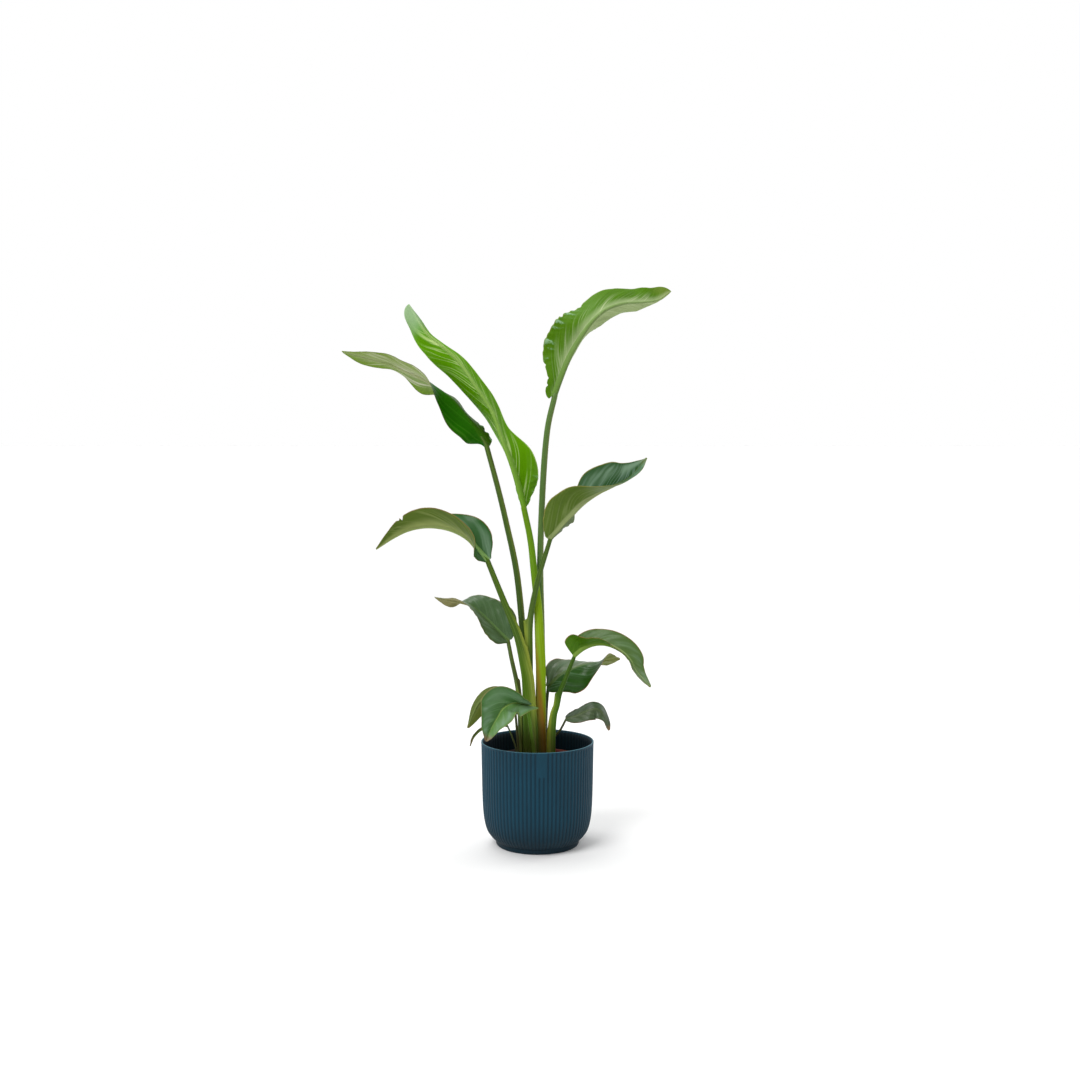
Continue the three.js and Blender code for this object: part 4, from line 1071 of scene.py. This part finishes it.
# the faces of a closed sheet from two layers of rows and columns
def sheetFaces(rows, columns, flip):
    count = rows * columns
    faces = []

    def add(*corners):
        faces.append(corners[::-1] if flip else corners)

    for j in range(rows - 1):
        for i in range(columns - 1):
            a = j * columns + i
            add(a, a + 1, a + 1 + columns, a + columns)
            add(count + a, count + a + columns, count + a + 1 + columns, count + a + 1)
        left = j * columns
        right = left + columns - 1
        add(left, left + columns, count + left + columns, count + left)
        add(right, count + right, count + right + columns, right + columns)
    for i in range(columns - 1):
        top = (rows - 1) * columns + i
        add(i, count + i, count + i + 1, i + 1)
        add(top, top + 1, count + top + 1, count + top)
    return faces


stalk = {
    "step": 4.5, "outsidePoints": 30, "channelPoints": 9, "soilDepth": 41,
    "sheathWidth": 62, "channelWidth": 30, "channelDepth": 0.2, "lip": 0.05,
    # old sheaths thicken the foot, by this share, and fade out over this height, and the stalk is
    # closed round up to this share of it
    "footSwell": 0.12, "footHeight": 80, "closedUpTo": 0.4,
    # how the two points that the sheath ends in run out, downwards and upwards
    "pointFoot": 0.06, "pointEnd": 0.004,
    # the stalk ends this deep under the midrib's start and sinks into its ridge at these steps along
    # it, so deep and so thick, as shares of the rib's half width
    "endDepth": 0.8,
    "sinkSteps": [0.05, 0.1, 0.16], "sinkDepths": [0.7, 0.66, 0.6], "sinkSizes": [0.8, 0.62, 0.4],
}


# the stalk's rings of points, from under the soil into the midrib, and its fields
def stalkParts(leaf, look):
    ribBase = leaf["girth"][-1][0]
    root = BladeFrames(leaf, [0.0])
    inner = BladeFrames(leaf, stalk["sinkSteps"])
    end = root.centre[0] - root.upperNormal[0] * ribBase * stalk["endDepth"]
    route = Route([*leaf["stalk"][:-1], tuple(end)])
    count = max(8, int(route.length / stalk["step"]))
    share = np.linspace(0, 1, count + 1)
    across, deep = (smoothThrough([g[k] for g in leaf["girth"]], share) for k in (0, 1))
    across = across * (1 + stalk["footSwell"] * np.exp(-share * route.length / stalk["footHeight"]))
    x, y, z = leaf["stalk"][0]
    sunk = inner.centre - inner.upperNormal * (ribBase * np.array(stalk["sinkDepths"]))[:, None]
    sunkHalf = ribBase * np.array(stalk["sinkSizes"])
    centre = np.vstack([(x, y, z - stalk["soilDepth"]), route.at(share), sunk])
    tangent = np.vstack([(0, 0, 1), route.tangent(share), inner.tangent])
    across = np.concatenate([across[:1], across, sunkHalf])
    deep = np.concatenate([deep[:1], deep, sunkHalf])
    along = np.concatenate([[0], share, [1, 1, 1]])

    # the channel faces its own way at the foot and turns to the blade's upper face
    left = unit(np.cross(front, tangent))
    toFront = unit(np.cross(tangent, left))
    rootUp = root.upperNormal[0]
    top = math.degrees(math.atan2(-(rootUp @ root.left[0]), rootUp @ root.toFront[0]))
    swing = (top - leaf["opens"] + 180) % 360 - 180
    opening = np.radians(leaf["opens"] + swing * along ** 1.5)
    narrowing = stalk["channelWidth"] - stalk["sheathWidth"]
    half = np.radians(stalk["sheathWidth"] + narrowing * along ** 0.6)[:, None]
    inside = np.linspace(-1, 1, stalk["channelPoints"])
    outside = np.linspace(0, 1, stalk["outsidePoints"] + 2)[1:-1]
    phi = np.concatenate([half * inside, half + (fullTurn - 2 * half) * outside], axis=1)

    # the channel is hollow between two raised lips, and both fade towards the blade
    dip = np.concatenate([1 - inside ** 2, np.zeros(len(outside))])
    lip = np.concatenate([np.abs(inside) ** 8, np.exp(-outside * 12) + np.exp(-(1 - outside) * 12)])
    fade = np.clip(1.15 - along, 0.15, 1)[:, None]
    sheathTop, pointSize = look["stalk"][2:]
    above = along - sheathTop
    point = np.exp(-np.abs(above) / np.where(above < 0, stalk["pointFoot"], stalk["pointEnd"]))
    lipSize = (stalk["lip"] + pointSize * point[:, None]) * fade
    closed = np.clip(along / stalk["closedUpTo"], 0, 1)[:, None]
    radius = 1 - stalk["channelDepth"] * dip * fade * closed + lipSize * lip
    theta = opening[:, None] + phi
    points = (centre[:, None, :]
              + toFront[:, None, :] * (np.cos(theta) * radius * deep[:, None])[..., None]
              - left[:, None, :] * (np.sin(theta) * radius * across[:, None])[..., None])
    fields = {"along": along[:, None], "around": phi, "edge": lip, "hollow": dip,
              "run": (along * route.length)[:, None], "sideways": np.sin(theta)}
    return points, {name: np.broadcast_to(values, phi.shape) for name, values in fields.items()}


leafFinish = {
    # the pale sheen over the upper face and the pale colour on the crumpled crests are painted highlights
    "shade": rgb(14, 44, 4), "paintedSheen": rgb(120, 150, 122), "crest": rgb(158, 196, 160),
    "roughness": 0.27, "roughBelow": 0.22, "index": 1.42,
    "stalkShade": rgb(20, 36, 6), "fibre": rgb(140, 158, 96), "sheathEdge": rgb(146, 162, 66),
    "channel": rgb(130, 160, 40), "footShade": rgb(46, 42, 18), "husk": rgb(116, 98, 66),
    "stalkRoughness": 0.38, "stalkSpecular": 0.14,
    # painted shade and the old sheaths' brown come in below this height in mm, full at the lower one
    "shadeAndBrownFrom": 292.0, "shadeAndBrownFull": 205.0,
}


def bladeMaterial(name, look):
    material, graph = newMaterial(name + "_blade")
    place = graph.objectPlace()
    along, across, vein, under, ridge, crest = (
        graph.attribute(field) for field in ("along", "across", "vein", "under", "ridge", "crest"))
    reach = graph.absolute(across)
    rightHalf = graph.between(across, 0.01, -0.01)

    # thin irregular lines and soft streaks along the side veins, strongest beside the midrib
    spacing, fade = look["veins"][1:]
    broad = graph.noise(graph.vector(vein * 0.035, across * 0.6, along * 1.5), 1.0, 2.0)
    fine = graph.noise(graph.vector(vein * (1.0 / spacing), across * 0.4, along), 1.0, 1.0)
    soft = graph.noise(graph.vector(vein * (0.45 / spacing), across * 0.8, along + 7.0), 1.0, 2.0)
    lines = graph.between(graph.absolute(fine - 0.5), 0.06, 0.0)
    outward = 1 - graph.between(reach, 0.02, fade)
    streak = lines * 0.75 + graph.between(soft, 0.45, 0.7) * 0.5
    streak = streak * outward * graph.between(along, 0.97, 0.8)
    bandLeft, bandRight, bandWidth = look["band"]
    nearRib = graph.between(reach, bandWidth, 0.0)

    # one face's colour: blotches, then streaks and the paleness beside the midrib
    def face(colours, streaks, left, right):
        base = graph.mix(rightHalf, colours[0], colours[1])
        shade = graph.mix(0.4, base, leafFinish["shade"])
        base = graph.mix(graph.between(broad, 0.55, 0.3) * 0.35, base, shade)
        band = (rightHalf * (right - left) + left) * nearRib * (soft * 0.8 + 0.6)
        pale = graph.math("MAXIMUM", band, streak * streaks)
        return graph.mix(pale, base, colours[2])

    streaksTop, streaksBelow = look["streaks"]
    top = face(look["top"], streaksTop, 0.1, 0.1)
    below = face(look["below"], streaksBelow, bandLeft, bandRight)
    # a painted sheen, a pale highlight, lies over the middle of the upper face
    sheenLeft, sheenRight = look["sheen"]
    paintedSheen = graph.between(reach, 0.12, 0.55) * graph.between(reach, 0.98, 0.66)
    paintedSheen = paintedSheen * (rightHalf * (sheenRight - sheenLeft) + sheenLeft)
    paintedSheen = paintedSheen * (graph.between(soft, 0.36, 0.62) * 0.75 + 0.25)
    colour = graph.mix(under, graph.mix(paintedSheen, top, leafFinish["paintedSheen"]), below)
    # the midrib is clearest at the stalk
    ribTop, ribLeft, ribRight = look["rib"]
    ribShare = graph.between(ridge, 0.3, 0.7) * (0.9 - along * 0.5)
    ribBelow = graph.mix(rightHalf, ribLeft, ribRight)
    colour = graph.mix(ribShare, colour, graph.mix(under, ribTop, ribBelow))
    # painted highlights in pale flecks on the crumpled crests, then the margin and the drying tip
    crestGlints = crest * (graph.noise(place, 240.0, 4.0, 0.6) * 3.4 - 1.0)
    colour = graph.mix(graph.between(crestGlints, 0.06, 0.5) * 0.55, colour, leafFinish["crest"])
    colour = graph.mix(graph.between(reach, 0.95, 0.985) * 0.75, colour, look["margin"])
    cloud = graph.noise(place, 40.0, 3.0)
    tipStart, tipShare, tipColour = look["tip"]
    tipped = graph.between(along + cloud * 0.06, tipStart, tipStart + 0.12)
    colour = graph.mix(tipped * tipShare, colour, tipColour)

    rough = leafFinish["roughness"] + under * leafFinish["roughBelow"] + cloud * 0.12 + streak * 0.06
    graph.surface({"Base Color": colour, "Roughness": rough, "IOR": leafFinish["index"],
                   "Specular IOR Level": look["shine"],
                   "Normal": graph.bump(lines * 0.6 + soft * 0.9, 0.3, 0.0005)})
    return material


def stalkMaterial(name, look):
    material, graph = newMaterial(name + "_stalk")
    place = graph.objectPlace()
    along, around, edge, run, hollow, sideways = (
        graph.attribute(field) for field in ("along", "around", "edge", "run", "hollow", "sideways"))
    height = graph.axis(place, "Z") / mm
    petiole, sheath, sheathTop = look["stalk"][:3]
    tint, side, spread, lowest, highest = look["edge"]
    fibre = graph.noise(graph.vector(around * 7.0, run * 0.006, 0.0), 1.0, 3.0)
    cloud = graph.noise(place, 24.0, 3.0)
    # the sheath and the petiole above it, both with fibres along them
    below = graph.between(along, sheathTop + 0.03, sheathTop - 0.1)
    colour = graph.mix(below, petiole, sheath)
    shade = graph.mix(0.4, colour, leafFinish["stalkShade"])
    colour = graph.mix(graph.between(fibre, 0.55, 0.3) * 0.5, colour, shade)
    colour = graph.mix(graph.between(fibre, 0.5, 0.7) * 0.3, colour, leafFinish["fibre"])
    # a tint on one side that widens downwards
    drop = graph.between(height, highest, lowest)
    tinted = graph.between(sideways * side + drop * spread + cloud * 0.2 + fibre * 0.5, 0.6, 1.6)
    tinted = tinted * graph.between(height, highest, highest - 50)
    tinted = tinted * graph.between(height, lowest - 60, lowest)
    colour = graph.mix(tinted * 0.95, colour, tint)
    # the sheath's pale lips and the brighter channel
    colour = graph.mix(edge * below * 0.7, colour, leafFinish["sheathEdge"])
    colour = graph.mix(hollow * 0.3, colour, graph.mix(0.5, colour, leafFinish["channel"]))
    # painted shade darkens the foot, where old sheaths are also brown, with dry husk along the fibres
    foot = graph.between(height + cloud * 60.0, leafFinish["shadeAndBrownFrom"], leafFinish["shadeAndBrownFull"])
    colour = graph.mix(foot * 0.8, colour, graph.mix(0.7, colour, leafFinish["footShade"]))
    husk = foot * graph.between(fibre, 0.5, 0.62)
    colour = graph.mix(husk * 0.6, colour, leafFinish["husk"])
    graph.surface({"Base Color": colour, "Roughness": leafFinish["stalkRoughness"] + fibre * 0.14,
                   "IOR": leafFinish["index"], "Specular IOR Level": leafFinish["stalkSpecular"],
                   "Normal": graph.bump(fibre, 0.3, 0.0006)})
    return material


def makeLeaf(name, leaf, seed):
    look = {**plainLook, **looks[name]}
    frames, parts = bladeParts(leaf, look, seed)
    rows, columns = parts["across"].shape
    onBlade = rows * columns
    faces = sheetFaces(rows, columns, leaf["upper"] < 0)
    ring, onStalk = stalkParts(leaf, look)
    rings, sides = onStalk["around"].shape
    stalkFaces = [face[::-1] for face in ringFaces(rings, sides, 2 * onBlade)]
    layers = (parts.pop("upper"), parts.pop("lower"), ring)
    points = np.vstack([layer.reshape(-1, 3) for layer in layers]) * mm
    materials = [bladeMaterial(name, look), stalkMaterial(name, look)]
    piece = newObject("fine_" + name, points, faces + stalkFaces, materials)
    kinds = [0] * len(faces) + [1] * len(stalkFaces)
    piece.data.polygons.foreach_set("material_index", kinds)

    # both layers of the blade have the same fields, and a field that a part lacks is 0 there
    parts = {"along": np.repeat(frames.share, columns), **parts}
    for field in {**parts, **onStalk}:
        layer = np.ravel(parts.get(field, np.zeros(onBlade)))
        stem = np.ravel(onStalk.get(field, np.zeros(rings * sides)))
        addAttribute(piece, field, np.concatenate([layer, layer, stem]))
    addAttribute(piece, "under", np.repeat([0, 1, 0], [onBlade, onBlade, rings * sides]))
    keep(piece, "young_leaf" if name == "leaf_top_centre" else "leaf", name)
    return piece


for number, (leafName, leafShape) in enumerate(leaves.items()):
    made = makeLeaf(leafName, leafShape, number)
    print(leafName, "has", len(made.data.polygons), "faces")
